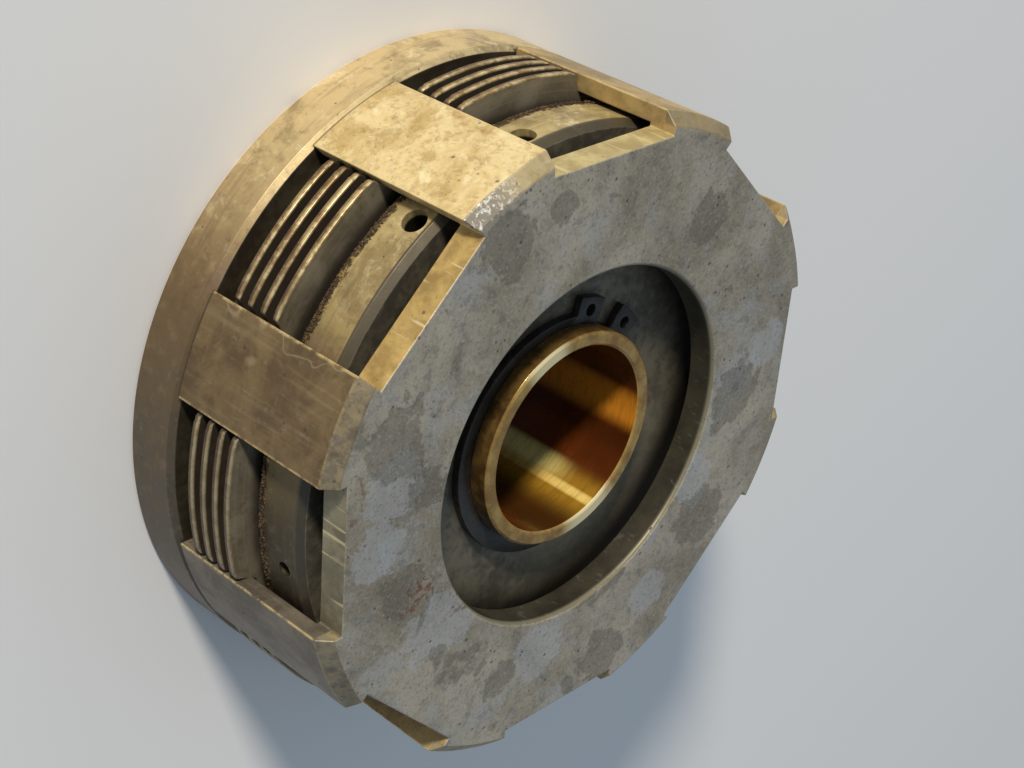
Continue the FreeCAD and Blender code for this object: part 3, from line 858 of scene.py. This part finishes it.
@dataclass(frozen=True)
class Plain:
    """A finish of two shades of one material in soft patches, with fine specks and a grain.

    Args:
        name: name of the material.
        light: lighter shade.
        dark: darker shade.
        speck: colour of the specks.
        metal: metallic share.
        rough: roughness.
        size: size of the patches in millimetres.
        turned: strength of the turned grooves round the axis.
        grain: depth of the grain in millimetres.
    """

    name: str
    light: tuple
    dark: tuple
    speck: tuple
    metal: float
    rough: float
    size: float
    turned: float = 0.0
    grain: float = 0.02

    def material(self) -> bpy.types.Material:
        """The finish's material."""
        sheet = Sheet(self.name)
        patch = sheet.noise(self.size, 4.0, 0.6, 0.4, seed=1.0)
        bands = sheet.grooves(sheet.z + sheet.radius, 3.0, 0.6)
        colour = sheet.coats(
            self.light,
            (patch.between(0.34, 0.66), self.dark),
            (sheet.dots(self.size / 3, (0.22, 0.1), (0.7, 0.8)) * 0.6, self.speck),
            (bands.between(0.46, 0.66) * self.turned, self.light),
        )
        height = sheet.noise(0.7, 3.0, 0.6, seed=2.0) * 0.6 + bands * self.turned
        return sheet.finish(colour, self.rough + patch * 0.16 - 0.08, self.metal, height, self.grain)


BLACK_RING = Plain("blackened ring", tint(54, 48, 43), tint(34, 30, 26), tint(104, 90, 72), 0.2, 0.34, 3.0)
HUB_STEEL = Plain("hub steel", tint(122, 118, 112), tint(86, 80, 74), tint(58, 44, 34), 0.7, 0.42, 7.0, 0.2)
SPRING_STEEL = Plain("spring steel", tint(140, 138, 136), tint(98, 94, 90), tint(78, 60, 46), 0.85, 0.32, 2.0)
BOBBIN = Plain("bobbin plastic", tint(212, 204, 184), tint(190, 180, 156), tint(150, 140, 120),
               0.0, 0.55, 6.0)
COPPER = Plain("enamelled copper", tint(170, 92, 50), tint(128, 62, 34), tint(88, 44, 26), 0.7, 0.3, 3.0, 0.6)
RESIN = Plain("potting resin", tint(58, 44, 36), tint(38, 30, 26), tint(90, 74, 60), 0.0, 0.4, 8.0)
GROMMET = Plain("grommet rubber", tint(38, 37, 36), tint(26, 25, 25), tint(60, 58, 56), 0.0, 0.62, 2.0)
WASHER = Plain("washer bronze", tint(178, 134, 76), tint(140, 98, 52), tint(82, 58, 36), 0.75, 0.38, 4.0, 0.3)
INNER_DISC = Plain("inner disc steel", tint(92, 78, 72), tint(58, 48, 46), tint(112, 74, 48),
                   0.5, 0.5, 4.0, 0.3)
CRUMB = Plain("rust crumbs", tint(82, 60, 34), tint(40, 28, 18), tint(176, 148, 96),
              0.0, 0.85, 1.6, 0.0, 0.06)


@dataclass(frozen=True)
class SleeveBronze:
    """Bronze sleeve: pale brass rim with painted highlights, browned outside, and a polished bore with
    painted reflections in bands along the shaft.
    """

    bore_radius: float = SLEEVE_RADIUS - SLEEVE_WALL

    def bore(self, sheet: Sheet) -> Value:
        """Colour of the bore: painted reflections and highlights in bands at their own angles, and painted
        shade where the lamp falls on the wall.
        """
        waver = sheet.noise(7.0, 4.0, 0.6, 0.4, seed=1.0)
        deep = sheet.z.between(44.0, 30.0)
        painted_shade_on_lit_wall = sheet.z.between(34.0, 42.0) * sheet.towards(147.0, 14.0, 10.0)
        around = sheet.noise(0.5, 2.0, 0.6, 0.0, sheet.stretched(0.1, 0.1, 1.0), 2.0)
        # The bright and dark bands are painted reflections and highlights, fixed to the sleeve; one patch
        # where the lamp falls on the wall is painted darker.
        return sheet.coats(
            tint(104, 50, 14),
            (waver.between(0.35, 0.65), tint(76, 34, 8)),
            (sheet.towards(176.0, 7.0, 9.0), tint(224, 142, 40)),
            (sheet.towards(140.0, 6.0, 8.0) * 0.4, tint(150, 72, 18)),
            (sheet.towards(112.0, 14.0, 8.0), tint(166, 122, 36)),
            (sheet.towards(124.0, 5.0, 4.0) * deep, tint(255, 240, 150)),
            (sheet.towards(115.0, 1.5, 2.5) * (1.0 - deep * 0.5), tint(250, 214, 120)),
            (sheet.towards(88.0, 12.0, 10.0) * 0.8, tint(66, 42, 12)),
            (painted_shade_on_lit_wall * 0.75, tint(70, 32, 8)),
            (around.between(0.4, 0.7) * 0.25, tint(60, 28, 10)),
        )

    def material(self) -> bpy.types.Material:
        """Sleeve material."""
        sheet = Sheet("bronze sleeve")
        in_bore = sheet.radius.between(self.bore_radius + 0.3, self.bore_radius + 0.1)
        patch = sheet.noise(4.0, 5.0, 0.65, 0.4, seed=3.0).between(0.35, 0.65)
        # Painted highlights on the rim, towards the lamp and opposite it.
        painted_highlight = sheet.towards(-68.0, 9.0, 9.0).at_least(sheet.towards(112.0, 13.0, 10.0))
        rim = sheet.coats(
            tint(184, 150, 84),
            (patch, tint(146, 108, 54)),
            (sheet.noise(1.0, 4.0, 0.7, seed=4.0).between(0.55, 0.68) * 0.5, tint(116, 80, 38)),
            (painted_highlight * 0.9, tint(252, 232, 180)),
        )
        colour = sheet.coats(
            tint(150, 116, 60),
            (patch, tint(92, 66, 34)),
            (in_bore, self.bore(sheet)),
            (sheet.z.between(SLEEVE_FRONT_Z - 0.6, SLEEVE_FRONT_Z - 0.35), rim),
        )
        rings = sheet.noise(0.4, 2.0, 0.6, 0.0, sheet.stretched(0.1, 0.1, 1.0), 5.0)
        height = rings * 0.5 + sheet.noise(0.8, 3.0, 0.6, seed=6.0) * 0.5
        return sheet.finish(colour, 0.26 + patch * 0.08, 0.6 - in_bore * 0.35, height, 0.015, 0.15)


# Sub-assemblies

def stand_for(thing: bpy.types.Object, body: str, slot: str, material: bpy.types.Material,
              *nodes: str) -> bpy.types.Object:
    """Gives a finished piece its material and the body it rides on, and hides the CAD nodes it stands for."""
    thing.data.materials.clear()
    thing.data.materials.append(material)
    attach(thing, body)
    if nodes:
        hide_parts(*nodes)
    log.info("%s rides on %s with %d faces", thing.name, body, len(thing.data.polygons))
    return thing


def dress_node(node: str, material: bpy.types.Material) -> None:
    """Gives a CAD node that stays shown its material."""
    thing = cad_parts[node]
    thing.data.materials.clear()
    thing.data.materials.append(material)
    log.info("%s keeps its CAD shape", node)


@dataclass
class CageAssembly:
    """Front plate and fingers in one piece, with a tenon under each finger."""

    plate_thickness: float = 6.3
    window_depth: float = 6.3
    hole_bevel: float = 0.6
    tenon_width: float = 12.0
    tenon_thickness: float = 2.0
    tenon_end_z: float = 0.2
    window_columns: int = 24
    finger_columns: int = 18
    edge_round: float = 0.3

    def tenon_boxes(self) -> tuple[np.ndarray, np.ndarray]:
        """Corners and faces of the eight tenons, each a block between two radii and two heights."""
        inner = OUTER_RADIUS - FINGER_THICKNESS
        flat = block_outline(inner, inner + self.tenon_thickness, self.tenon_width)
        top = RIM_Z + self.edge_round
        block = np.stack([at_height(flat, self.tenon_end_z), at_height(flat, top)])
        blocks = repeated(block, FINGER_ANGLES)
        numbers = np.arange(FINGER_COUNT * 8).reshape(FINGER_COUNT, 2, 4)
        return blocks.reshape(-1, 3), np.concatenate(walls_and_ends(numbers))

    def shape(self) -> bpy.types.Object:
        """The cage as one grid of columns round the axis.

        A window column u from -1 to 1 ends on the flat at (flat radius, u half width), so its angle is
        atan(u half width / flat radius). A finger column t from 0 to 1 at the radius r has the angle
        e + t (pitch - 2 e), where e = asin(half width / r) keeps both side walls flat and parallel to the
        window. The rows run round the cross-section: the plate's rows go all the way round, the others
        only down the fingers.
        """
        half = WINDOW_WIDTH / 2
        flat_radius = OUTER_RADIUS - self.window_depth
        corner = math.hypot(flat_radius, half)
        corner_angle = math.asin(half / corner)
        finger_inner = OUTER_RADIUS - FINGER_THICKNESS
        plate_rear = FRONT_Z - self.plate_thickness
        across = np.linspace(-1, 1, self.window_columns + 1)
        share = np.linspace(0, 1, self.finger_columns + 1)
        pitch = math.radians(PITCH)

        def finger_row(radius: float, z: float) -> np.ndarray:
            """One finger's row of points at a radius and height."""
            edge = math.asin(half / radius)
            return at_height(polar(radius, edge + share * (pitch - 2 * edge)), z)

        def full_row(radius: float, z: float) -> np.ndarray:
            """One pitch of a row that goes all the way round."""
            window = np.arctan2(across * half, flat_radius)
            angle = np.concatenate([window, corner_angle + share[1:-1] * (pitch - 2 * corner_angle)])
            return at_height(polar(radius, angle), z)

        def edge_row(z: float) -> np.ndarray:
            """One pitch of the row along the flats and the feet of the fingers."""
            flat = np.stack([np.full_like(across, flat_radius), across * half], -1)
            return np.concatenate([at_height(flat, z), finger_row(corner, z)[1:-1]])

        full = np.stack([
            full_row(HOLE_RADIUS, plate_rear),
            full_row(HOLE_RADIUS, FRONT_Z - self.hole_bevel),
            full_row(HOLE_RADIUS + self.hole_bevel, FRONT_Z),
            edge_row(FRONT_Z),
            edge_row(plate_rear),
        ])
        finger = np.stack([
            finger_row(OUTER_RADIUS - END_BEVEL, FRONT_Z),
            finger_row(OUTER_RADIUS, FRONT_Z - END_BEVEL),
            finger_row(OUTER_RADIUS, RIM_Z),
            finger_row(finger_inner, RIM_Z),
            finger_row(finger_inner, plate_rear),
        ])
        rings = np.concatenate(repeated(full, WINDOW_ANGLES), axis=1)
        legs = repeated(finger, WINDOW_ANGLES).swapaxes(0, 1)
        ring_numbers = np.arange(rings.shape[0] * rings.shape[1]).reshape(rings.shape[:2])
        leg_numbers = ring_numbers.size + np.arange(legs[..., 0].size).reshape(legs.shape[:3])
        sector = full.shape[1]
        starts = np.arange(FINGER_COUNT)[:, None] * sector
        leg_columns = (starts + self.window_columns + np.arange(self.finger_columns + 1)) % rings.shape[1]
        window_columns = starts + np.arange(self.window_columns + 1)
        loop = np.concatenate([ring_numbers[3][leg_columns][None], leg_numbers,
                               ring_numbers[4][leg_columns][None]])
        faces = [quads(ring_numbers[:3], close_columns=True),
                 quads(ring_numbers[[2, 3]], close_columns=True),
                 quads(ring_numbers[[4, 0]], close_columns=True)]
        faces += [quads(ring_numbers[3:5][:, columns]) for columns in window_columns]
        faces += [quads(loop[:, index]) for index in range(FINGER_COUNT)]
        caps = np.concatenate([loop[:, :, 0].T, loop[:, :, -1].T])
        tenon_points, tenon_faces = self.tenon_boxes()
        points = np.concatenate([rings.reshape(-1, 3), legs.reshape(-1, 3), tenon_points])
        offset = len(points) - len(tenon_points)
        faces += [caps, tenon_faces + offset]
        return eased(solid("cage_plate_and_fingers", points, faces), self.edge_round)

    def build(self) -> None:
        """Makes and dresses the cage."""
        stand_for(self.shape(), "stator", "cage_steel", WornCage().material(), "cage")


@dataclass
class MagnetAssembly:
    """Rear ring with its coil, potting, grommet and thrust washer."""

    pole_inset: float = 6.5
    pole_bevel: float = 0.5
    outer_pole_width: float = 5.5
    groove_width: float = 15.0
    groove_floor: float = 3.5
    washer_seat_depth: float = 1.2
    washer_seat_radius: float = 31.1
    seat_radius: float = 23.05
    recess_radius: float = 30.0
    recess_depth: float = 4.6
    front_bevel: float = 1.2
    rear_bevel: float = 0.8
    bolt_radius: float = 2.5
    bolt_depth: float = 9.0
    bolt_inset: float = 5.5
    lead_radius: float = 3.5
    lead_flange_radius: float = 5.0
    lead_flange_depth: float = 1.4
    lead_angle: float = 112.5
    slot_width: float = 12.1
    slot_depth: float = 2.05
    slot_play: float = 0.05
    edge_round: float = 0.25

    def shape(self) -> bpy.types.Object:
        """The ring, turned from its outline, with its holes and slots taken out."""
        pole = OUTER_RADIUS - self.pole_inset
        groove_outer = pole - self.outer_pole_width
        groove_inner = groove_outer - self.groove_width
        seat_z = POLE_Z - self.washer_seat_depth
        outline = rounded([
            (self.recess_radius, 0), (OUTER_RADIUS - self.rear_bevel, 0), (OUTER_RADIUS, self.rear_bevel),
            (OUTER_RADIUS, RIM_Z - self.front_bevel), (OUTER_RADIUS - self.front_bevel, RIM_Z), (pole, RIM_Z),
            (pole, POLE_Z - self.pole_bevel), (pole - self.pole_bevel, POLE_Z), (groove_outer, POLE_Z),
            (groove_outer, self.groove_floor), (groove_inner, self.groove_floor), (groove_inner, POLE_Z),
            (self.washer_seat_radius, POLE_Z), (self.washer_seat_radius, seat_z), (self.seat_radius, seat_z),
            (self.seat_radius, self.recess_depth), (self.recess_radius, self.recess_depth),
        ], self.edge_round)
        ring = turned("magnet_body_ring", outline)
        bolt_circle = OUTER_RADIUS - self.bolt_inset
        bolts = round_outlines(self.bolt_radius, bolt_circle, 0.0, 90.0, 180.0, 270.0)
        middle = (groove_inner + groove_outer) / 2
        lead = round_outlines(self.lead_radius, middle, self.lead_angle)
        flange = round_outlines(self.lead_flange_radius, middle, self.lead_angle)
        inner = OUTER_RADIUS - FINGER_THICKNESS - self.slot_play
        slots = repeated(block_outline(inner, inner + self.slot_depth, self.slot_width), FINGER_ANGLES)
        return evened(carved(ring, prisms("bolt holes", bolts, -BEYOND, self.bolt_depth),
                             prisms("lead hole", lead, -BEYOND, self.groove_floor + BEYOND),
                             prisms("lead flange", flange, -BEYOND, self.lead_flange_depth),
                             prisms("tenon slots", slots, -BEYOND, RIM_Z + BEYOND)))

    def build(self) -> None:
        """Makes and dresses the ring, and dresses what sits in it."""
        zinc = YellowZinc("magnet body zinc", OUTER_RADIUS, RIM_Z).material()
        stand_for(self.shape(), "stator", "yellow_zinc", zinc, "magnet_body")
        for node, slot, finish in (
            ("coil_bobbin", "bobbin_plastic", BOBBIN), ("coil_winding", "copper", COPPER),
            ("coil_potting", "resin", RESIN), ("lead_grommet", "grommet_rubber", GROMMET),
            ("thrust_washer", "washer_bronze", WASHER),
        ):
            dress_node(node, finish.material())


@dataclass
class RotorAssembly:
    """Bronze sleeve with its retaining rings, the splined hub and the release spring."""

    end_bevel: float = 0.5
    groove_depth: float = 1.25
    ring_play: float = 0.05
    key_width: float = 12.0
    key_depth: float = 3.3
    key_length: float = 29.0
    key_angle: float = -45.0
    edge_round: float = 0.12
    armature_travel: float = 3.2

    def spring(self) -> bpy.types.Object:
        """Release spring: a copy of the CAD coil on the rotor body, with a mesh of its own."""
        coil = merged_copy("release_spring_coil", "release_spring")
        stand_for(coil, "rotor", "spring_steel", SPRING_STEEL.material(), "release_spring")
        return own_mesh(coil)

    def sleeve(self) -> bpy.types.Object:
        """Sleeve with a groove for each ring and the keyway cut from the rear."""
        bore = SLEEVE_RADIUS - SLEEVE_WALL
        seat = SLEEVE_RADIUS - self.groove_depth
        bevel = self.end_bevel
        rear_groove = corners_of("rear_retaining_ring")[:, 2] + (-self.ring_play, self.ring_play)
        front_groove = corners_of("front_retaining_ring")[:, 2] + (-self.ring_play, self.ring_play)
        outline = rounded([
            (bore, SLEEVE_REAR_Z + bevel), (bore + bevel, SLEEVE_REAR_Z),
            (SLEEVE_RADIUS - bevel, SLEEVE_REAR_Z), (SLEEVE_RADIUS, SLEEVE_REAR_Z + bevel),
            (SLEEVE_RADIUS, rear_groove[0]), (seat, rear_groove[0]),
            (seat, rear_groove[1]), (SLEEVE_RADIUS, rear_groove[1]), (SLEEVE_RADIUS, front_groove[0]),
            (seat, front_groove[0]), (seat, front_groove[1]), (SLEEVE_RADIUS, front_groove[1]),
            (SLEEVE_RADIUS, SLEEVE_FRONT_Z - bevel), (SLEEVE_RADIUS - bevel, SLEEVE_FRONT_Z),
            (bore + bevel, SLEEVE_FRONT_Z), (bore, SLEEVE_FRONT_Z - bevel),
        ], self.edge_round)
        key = block_outline(0.0, bore + self.key_depth, self.key_width)
        cutter = prism("keyway", spun(key, self.key_angle), -BEYOND, SLEEVE_REAR_Z + self.key_length)
        return evened(carved(turned("bronze_sleeve", outline, 256), cutter))

    def build(self) -> None:
        """Makes and dresses the sleeve, its rings and the spring, and dresses the hub."""
        stand_for(self.sleeve(), "rotor", "bronze", SleeveBronze().material(), "bearing_sleeve")
        black = BLACK_RING.material()
        for end in ("front", "rear"):
            node = f"{end}_retaining_ring"
            ring = eased(merged_copy(f"{end}_snap_ring", node), self.edge_round, 2)
            stand_for(ring, "rotor", "ring_steel", black, node)
        dress_node("splined_hub", HUB_STEEL.material())
        self.spring()


@dataclass
class ArmatureAssembly:
    """Thick disc that slides on the sleeve, with radial holes and a toothed pocket for the hub."""

    front_bevel: float = 1.3
    rear_bevel: float = 0.8
    seat_radius: float = 23.05
    web: float = 5.1
    hole_set_back: float = 4.8
    wrench_radius: float = 2.5
    wrench_depth: float = 8.0
    wrench_angles: tuple = (-82.0, -56.7, 98.0, 123.3)
    locking_radius: float = 1.5
    locking_depth: float = 6.0
    locking_angles: tuple = (8.0, 188.0)
    teeth: int = 20
    root_share: float = 0.25
    tip_share: float = 0.15
    tooth_play: float = 0.12
    root_radius: float = 31.12
    tip_radius: float = 34.12
    edge_round: float = 0.3

    def pocket(self) -> np.ndarray:
        """Outline of the toothed pocket: four corners for each tooth, two at the root and two at the tip."""
        pitch = 360.0 / self.teeth
        root_half = pitch * self.root_share + math.degrees(self.tooth_play / self.root_radius)
        tip_half = pitch * self.tip_share + math.degrees(self.tooth_play / self.tip_radius)
        turns = np.radians(np.arange(self.teeth)[:, None] * pitch
                           + np.array([-root_half, -tip_half, tip_half, root_half]))
        reach = np.array([self.root_radius, self.tip_radius, self.tip_radius, self.root_radius])
        return polar(reach, turns).reshape(-1, 2)

    def shape(self) -> bpy.types.Object:
        """The disc, turned from its outline, with pocket and holes taken out."""
        outline = rounded([
            (self.seat_radius, ARMATURE_REAR_Z), (ARMATURE_RADIUS - self.rear_bevel, ARMATURE_REAR_Z),
            (ARMATURE_RADIUS, ARMATURE_REAR_Z + self.rear_bevel),
            (ARMATURE_RADIUS, ARMATURE_FRONT_Z - self.front_bevel),
            (ARMATURE_RADIUS - self.front_bevel, ARMATURE_FRONT_Z), (self.seat_radius, ARMATURE_FRONT_Z),
        ], self.edge_round)
        hole_z = ARMATURE_FRONT_Z - self.hole_set_back
        beyond = ARMATURE_RADIUS + 2 * BEYOND
        return evened(carved(
            turned("armature_disc", outline),
            prism("pocket", self.pocket(), ARMATURE_REAR_Z - BEYOND, ARMATURE_FRONT_Z - self.web),
            radial_rods("wrench holes", self.wrench_radius, ARMATURE_RADIUS - self.wrench_depth, beyond,
                        hole_z, self.wrench_angles),
            radial_rods("locking holes", self.locking_radius, ARMATURE_RADIUS - self.locking_depth, beyond,
                        hole_z, self.locking_angles),
        ))

    def build(self) -> None:
        """Makes and dresses the armature."""
        zinc = YellowZinc(
            "armature zinc", ARMATURE_RADIUS, ARMATURE_FRONT_Z, bevel=1.8, rear_z=ARMATURE_REAR_Z,
            light=tint(190, 168, 114), middle=tint(158, 136, 88), painted_shade_tone=tint(60, 53, 39),
            front=tint(122, 113, 94), edge=tint(86, 79, 68),
        )
        stand_for(self.shape(), "armature", "yellow_zinc", zinc.material(), "armature")


@dataclass
class RustCrumbs:
    """Brown debris that has caked along the rear edge of the armature."""

    count: int = 6000
    smallest: float = 0.08
    largest: float = 0.4
    width: float = 2.3
    set_in: float = 0.75
    set_up: float = 0.25
    stand_out: float = 0.1
    seed: int = 11

    def pebble(self) -> tuple[np.ndarray, np.ndarray]:
        """Corners and faces of one round pebble of radius one."""
        shape = bmesh.new()
        bmesh.ops.create_icosphere(shape, subdivisions=1, radius=1.0)
        points = np.array([corner.co[:] for corner in shape.verts])
        faces = np.array([[corner.index for corner in face.verts] for face in shape.faces])
        shape.free()
        return points, faces

    def shape(self) -> bpy.types.Object:
        """All the crumbs in one mesh.

        Each crumb is the pebble with every corner pushed in or out by chance, stretched by its own three
        sizes, and set at an angle and height by chance: most of them on the bevel, fewer further up.
        """
        chance = np.random.default_rng(self.seed)
        points, faces = self.pebble()
        growth = chance.uniform(0, 1, (self.count, 1, 1)) ** 2.5
        size = self.smallest + (self.largest - self.smallest) * growth
        stretch = chance.uniform(0.7, 1.3, (self.count, 1, 3))
        bumps = chance.uniform(0.75, 1.2, (self.count, len(points), 1))
        angle = chance.uniform(0, 2 * np.pi, self.count)
        clump = 0.5 + 0.5 * np.sin(11 * angle + 1.3) * np.sin(29 * angle + 0.4 * np.sin(53 * angle))
        climb = chance.uniform(0, 1, self.count) ** 1.5 * (0.15 + 0.85 * clump)
        up = self.largest + (self.width - self.largest) * climb
        reach = np.minimum(ARMATURE_RADIUS - self.set_in + up, ARMATURE_RADIUS + self.stand_out)
        height = (ARMATURE_REAR_Z + self.set_up + up)[:, None]
        middle = np.concatenate([polar(reach, angle), height], axis=-1)
        crumbs = points[None] * size * stretch * bumps + middle[:, None]
        numbers = faces[None] + np.arange(self.count)[:, None, None] * len(points)
        return solid("rust_crumbs", crumbs.reshape(-1, 3), [numbers.reshape(-1, 3)])

    def build(self) -> None:
        """Makes and dresses the crumbs."""
        stand_for(self.shape(), "armature", "yellow_zinc", CRUMB.material())


@dataclass
class DiscPack:
    """Four outer discs with a lug in each window, and the four inner discs between them."""

    pairs: int = 4
    side_play: float = 0.5
    rim_play: float = 0.5
    corner_radius: float = 1.5
    corner_reach: float = 0.12
    tip_trim: float = 1.6
    hole_radius: float = 37.5
    rim_round: float = 0.28
    slot_count: int = 6
    slot_width: float = 3.0
    slot_span: float = 42.0
    slot_radius: float = 48.5

    def outline(self) -> np.ndarray:
        """Outline of an outer disc: per pitch an arc of the rim, and a lug with parallel sides.

        The quarter circle that eases a lug's corner reaches a little past the outer radius, so that it cuts
        the arc of the tip, and what lies past that radius is left out.
        """
        rim = OUTER_RADIUS - FINGER_THICKNESS - self.rim_play
        half = WINDOW_WIDTH / 2 - self.side_play
        root = math.degrees(math.asin(half / rim))
        tip = math.degrees(math.asin(half / OUTER_RADIUS))
        end = OUTER_RADIUS * math.cos(math.radians(tip))
        ease = self.corner_radius
        quarter = arc(ease, 0, 90, 7)
        upper = quarter + (end - ease + self.corner_reach, half - ease)
        tip_arc = arc(OUTER_RADIUS, -tip + self.tip_trim, tip - self.tip_trim, 25)
        lug = np.concatenate([upper[::-1] * (1, -1), tip_arc, upper])
        lug = lug[np.hypot(lug[:, 0], lug[:, 1]) <= OUTER_RADIUS + 1e-6]
        pitch = np.concatenate([arc(rim, -PITCH / 2, -root, 8)[:-1], lug, arc(rim, root, PITCH / 2, 8)[1:-1]])
        return repeated(pitch, WINDOW_ANGLES).reshape(-1, 2)

    def kidneys(self, bottom: float, top: float) -> bpy.types.Object:
        """Cutter for the curved slots: a stadium bent round the axis, its long way read as an angle."""
        half = self.slot_width / 2
        reach = math.radians(self.slot_span / 2) * self.slot_radius
        cap = arc(half, -90, 90, 9)
        side = np.linspace(reach, -reach, 30)[1:-1]
        upper = np.stack([side, np.full_like(side, half)], -1)
        lower = upper[::-1] * (1, -1)
        flat = np.concatenate([cap + (reach, 0.0), upper, cap[::-1] * (-1, 1) - (reach, 0.0), lower])
        bent = polar(self.slot_radius + flat[:, 1], flat[:, 0] / self.slot_radius)
        turns = [index * 360.0 / self.slot_count for index in range(self.slot_count)]
        return prisms("curved slots", repeated(bent, turns), bottom, top)

    def outer_disc(self, index: int) -> bpy.types.Object:
        """Outer disc number index.

        Its section runs round the rim's rounded edge, from the lower face to the upper one, and back down
        the hole: row k of the edge lies at outline - inset_k * outward and at the height z_k, where inset and
        height follow a quarter circle at each edge.
        """
        bottom, top = corners_of(f"outer_disc_{index}")[:, 2]
        outline = self.outline()
        along = np.roll(outline, -1, 0) - np.roll(outline, 1, 0)
        outward = unit(np.stack([along[:, 1], -along[:, 0]], -1))
        quarter = np.linspace(0, np.pi / 2, 5)
        ease = self.rim_round
        inset = ease * np.concatenate([1 - np.sin(quarter), 1 - np.cos(quarter)])
        height = np.concatenate([bottom + ease * (1 - np.cos(quarter)), top - ease * (1 - np.sin(quarter))])
        flat = outline[None] - inset[:, None, None] * outward[None]
        rim = np.concatenate([flat, np.broadcast_to(height[:, None, None], flat.shape[:2] + (1,))], -1)
        hole = self.hole_radius * unit(outline)
        rows = np.concatenate([rim, at_height(hole, top)[None], at_height(hole, bottom)[None]])
        numbers = np.arange(rows.shape[0] * rows.shape[1]).reshape(rows.shape[:2])
        disc = solid(f"outer_disc_{index}_plate", rows.reshape(-1, 3), [quads(numbers, True, True)])
        return evened(carved(disc, self.kidneys(bottom - BEYOND, top + BEYOND)))

    def build(self) -> None:
        """Makes and dresses the outer discs, and dresses the inner ones."""
        first, second, last = (corners_of(f"outer_disc_{index}") for index in (1, 2, self.pairs))
        worn = WornDisc("outer disc steel", OUTER_RADIUS, first[0][2], last[1][2], second[0][2] - first[0][2],
                        first[1][2] - first[0][2]).material()
        plain = INNER_DISC.material()
        for index in range(1, self.pairs + 1):
            node = f"outer_disc_{index}"
            stand_for(self.outer_disc(index), node, "disc_steel", worn, node)
            dress_node(f"inner_disc_{index}", plain)


# Floor, light and camera

@dataclass
class Studio:
    """Pale floor, soft light from the bright finger's side, and the camera."""

    lens: float = 69.783
    sensor_width: float = 36.0
    nearest: float = 10.0
    camera_at: tuple = (252.89, -200.58, 267.25)
    camera_right: tuple = (-0.70599, -0.07144, 0.70461)
    camera_up: tuple = (-0.30577, -0.86665, -0.39423)
    floor_colour: tuple = tint(237, 233, 229)
    floor_size: float = 6000.0
    floor_gap: float = 0.02
    sky_colour: tuple = (0.66, 0.82, 1.0, 1.0)
    sky_strength: float = 0.39
    key_at: tuple = (1147.0, -2575.0, 1080.0)
    key_across: float = 380.0
    key_watts: float = 100.0
    key_colour: tuple = (1.0, 0.94, 0.83)

    def floor(self) -> None:
        """Plain plane under the rear face."""
        half = self.floor_size * MM / 2
        mesh = bpy.data.meshes.new("floor")
        low = -self.floor_gap * MM
        corners = [(-half, -half, low), (half, -half, low), (half, half, low), (-half, half, low)]
        mesh.from_pydata(corners, [], [(0, 1, 2, 3)])
        floor = placed("floor", mesh)
        sheet = Sheet("floor")
        cloud = sheet.noise(400.0, 2.0, 0.5)
        colour = sheet.mix(cloud, self.floor_colour, tint(234, 231, 228))
        mesh.materials.append(sheet.finish(colour, 0.9, 0.0))

    def surroundings(self) -> None:
        """Even bluish light from all sides."""
        world = bpy.data.worlds.new("surroundings")
        world.use_nodes = True
        sky = world.node_tree.nodes["Background"].inputs
        sky["Color"].default_value = self.sky_colour
        sky["Strength"].default_value = self.sky_strength
        bpy.context.scene.world = world

    def key(self) -> None:
        """Warm soft light, a round lamp that faces the brake's middle."""
        light = bpy.data.lights.new("key", "AREA")
        light.shape = "DISK"
        light.size = self.key_across * MM
        light.energy = self.key_watts
        light.color = self.key_colour
        lamp = placed("key", light)
        lamp.location = Vector(self.key_at) * MM
        middle = Vector((0, 0, FRONT_Z / 2)) * MM
        lamp.rotation_euler = (middle - lamp.location).to_track_quat("-Z", "Y").to_euler()

    def camera(self) -> None:
        """Camera at the photograph's place: its columns are right, up and backward."""
        camera = bpy.data.cameras.new("camera")
        camera.lens = self.lens
        camera.sensor_width = self.sensor_width
        camera.clip_start = self.nearest * MM
        holder = placed("camera", camera)
        right, up = Vector(self.camera_right).normalized(), Vector(self.camera_up).normalized()
        back = right.cross(up).normalized()
        up = back.cross(right)
        turn = Matrix((right, up, back)).transposed().to_4x4()
        holder.matrix_world = Matrix.Translation(Vector(self.camera_at) * MM) @ turn
        bpy.context.scene.camera = holder

    def build(self) -> None:
        """Sets the stage."""
        self.floor()
        self.surroundings()
        self.key()
        self.camera()
        bpy.context.scene.view_settings.view_transform = "Standard"
        log.info("floor, light and camera are set")


def main() -> None:
    """Builds every sub-assembly in order."""
    logging.basicConfig(level=logging.INFO, format="%(name)s: %(message)s")
    for part in (CageAssembly(), MagnetAssembly(), RotorAssembly(), ArmatureAssembly(), RustCrumbs(),
                 DiscPack(), Studio()):
        part.build()


if __name__ == "__main__":
    main()
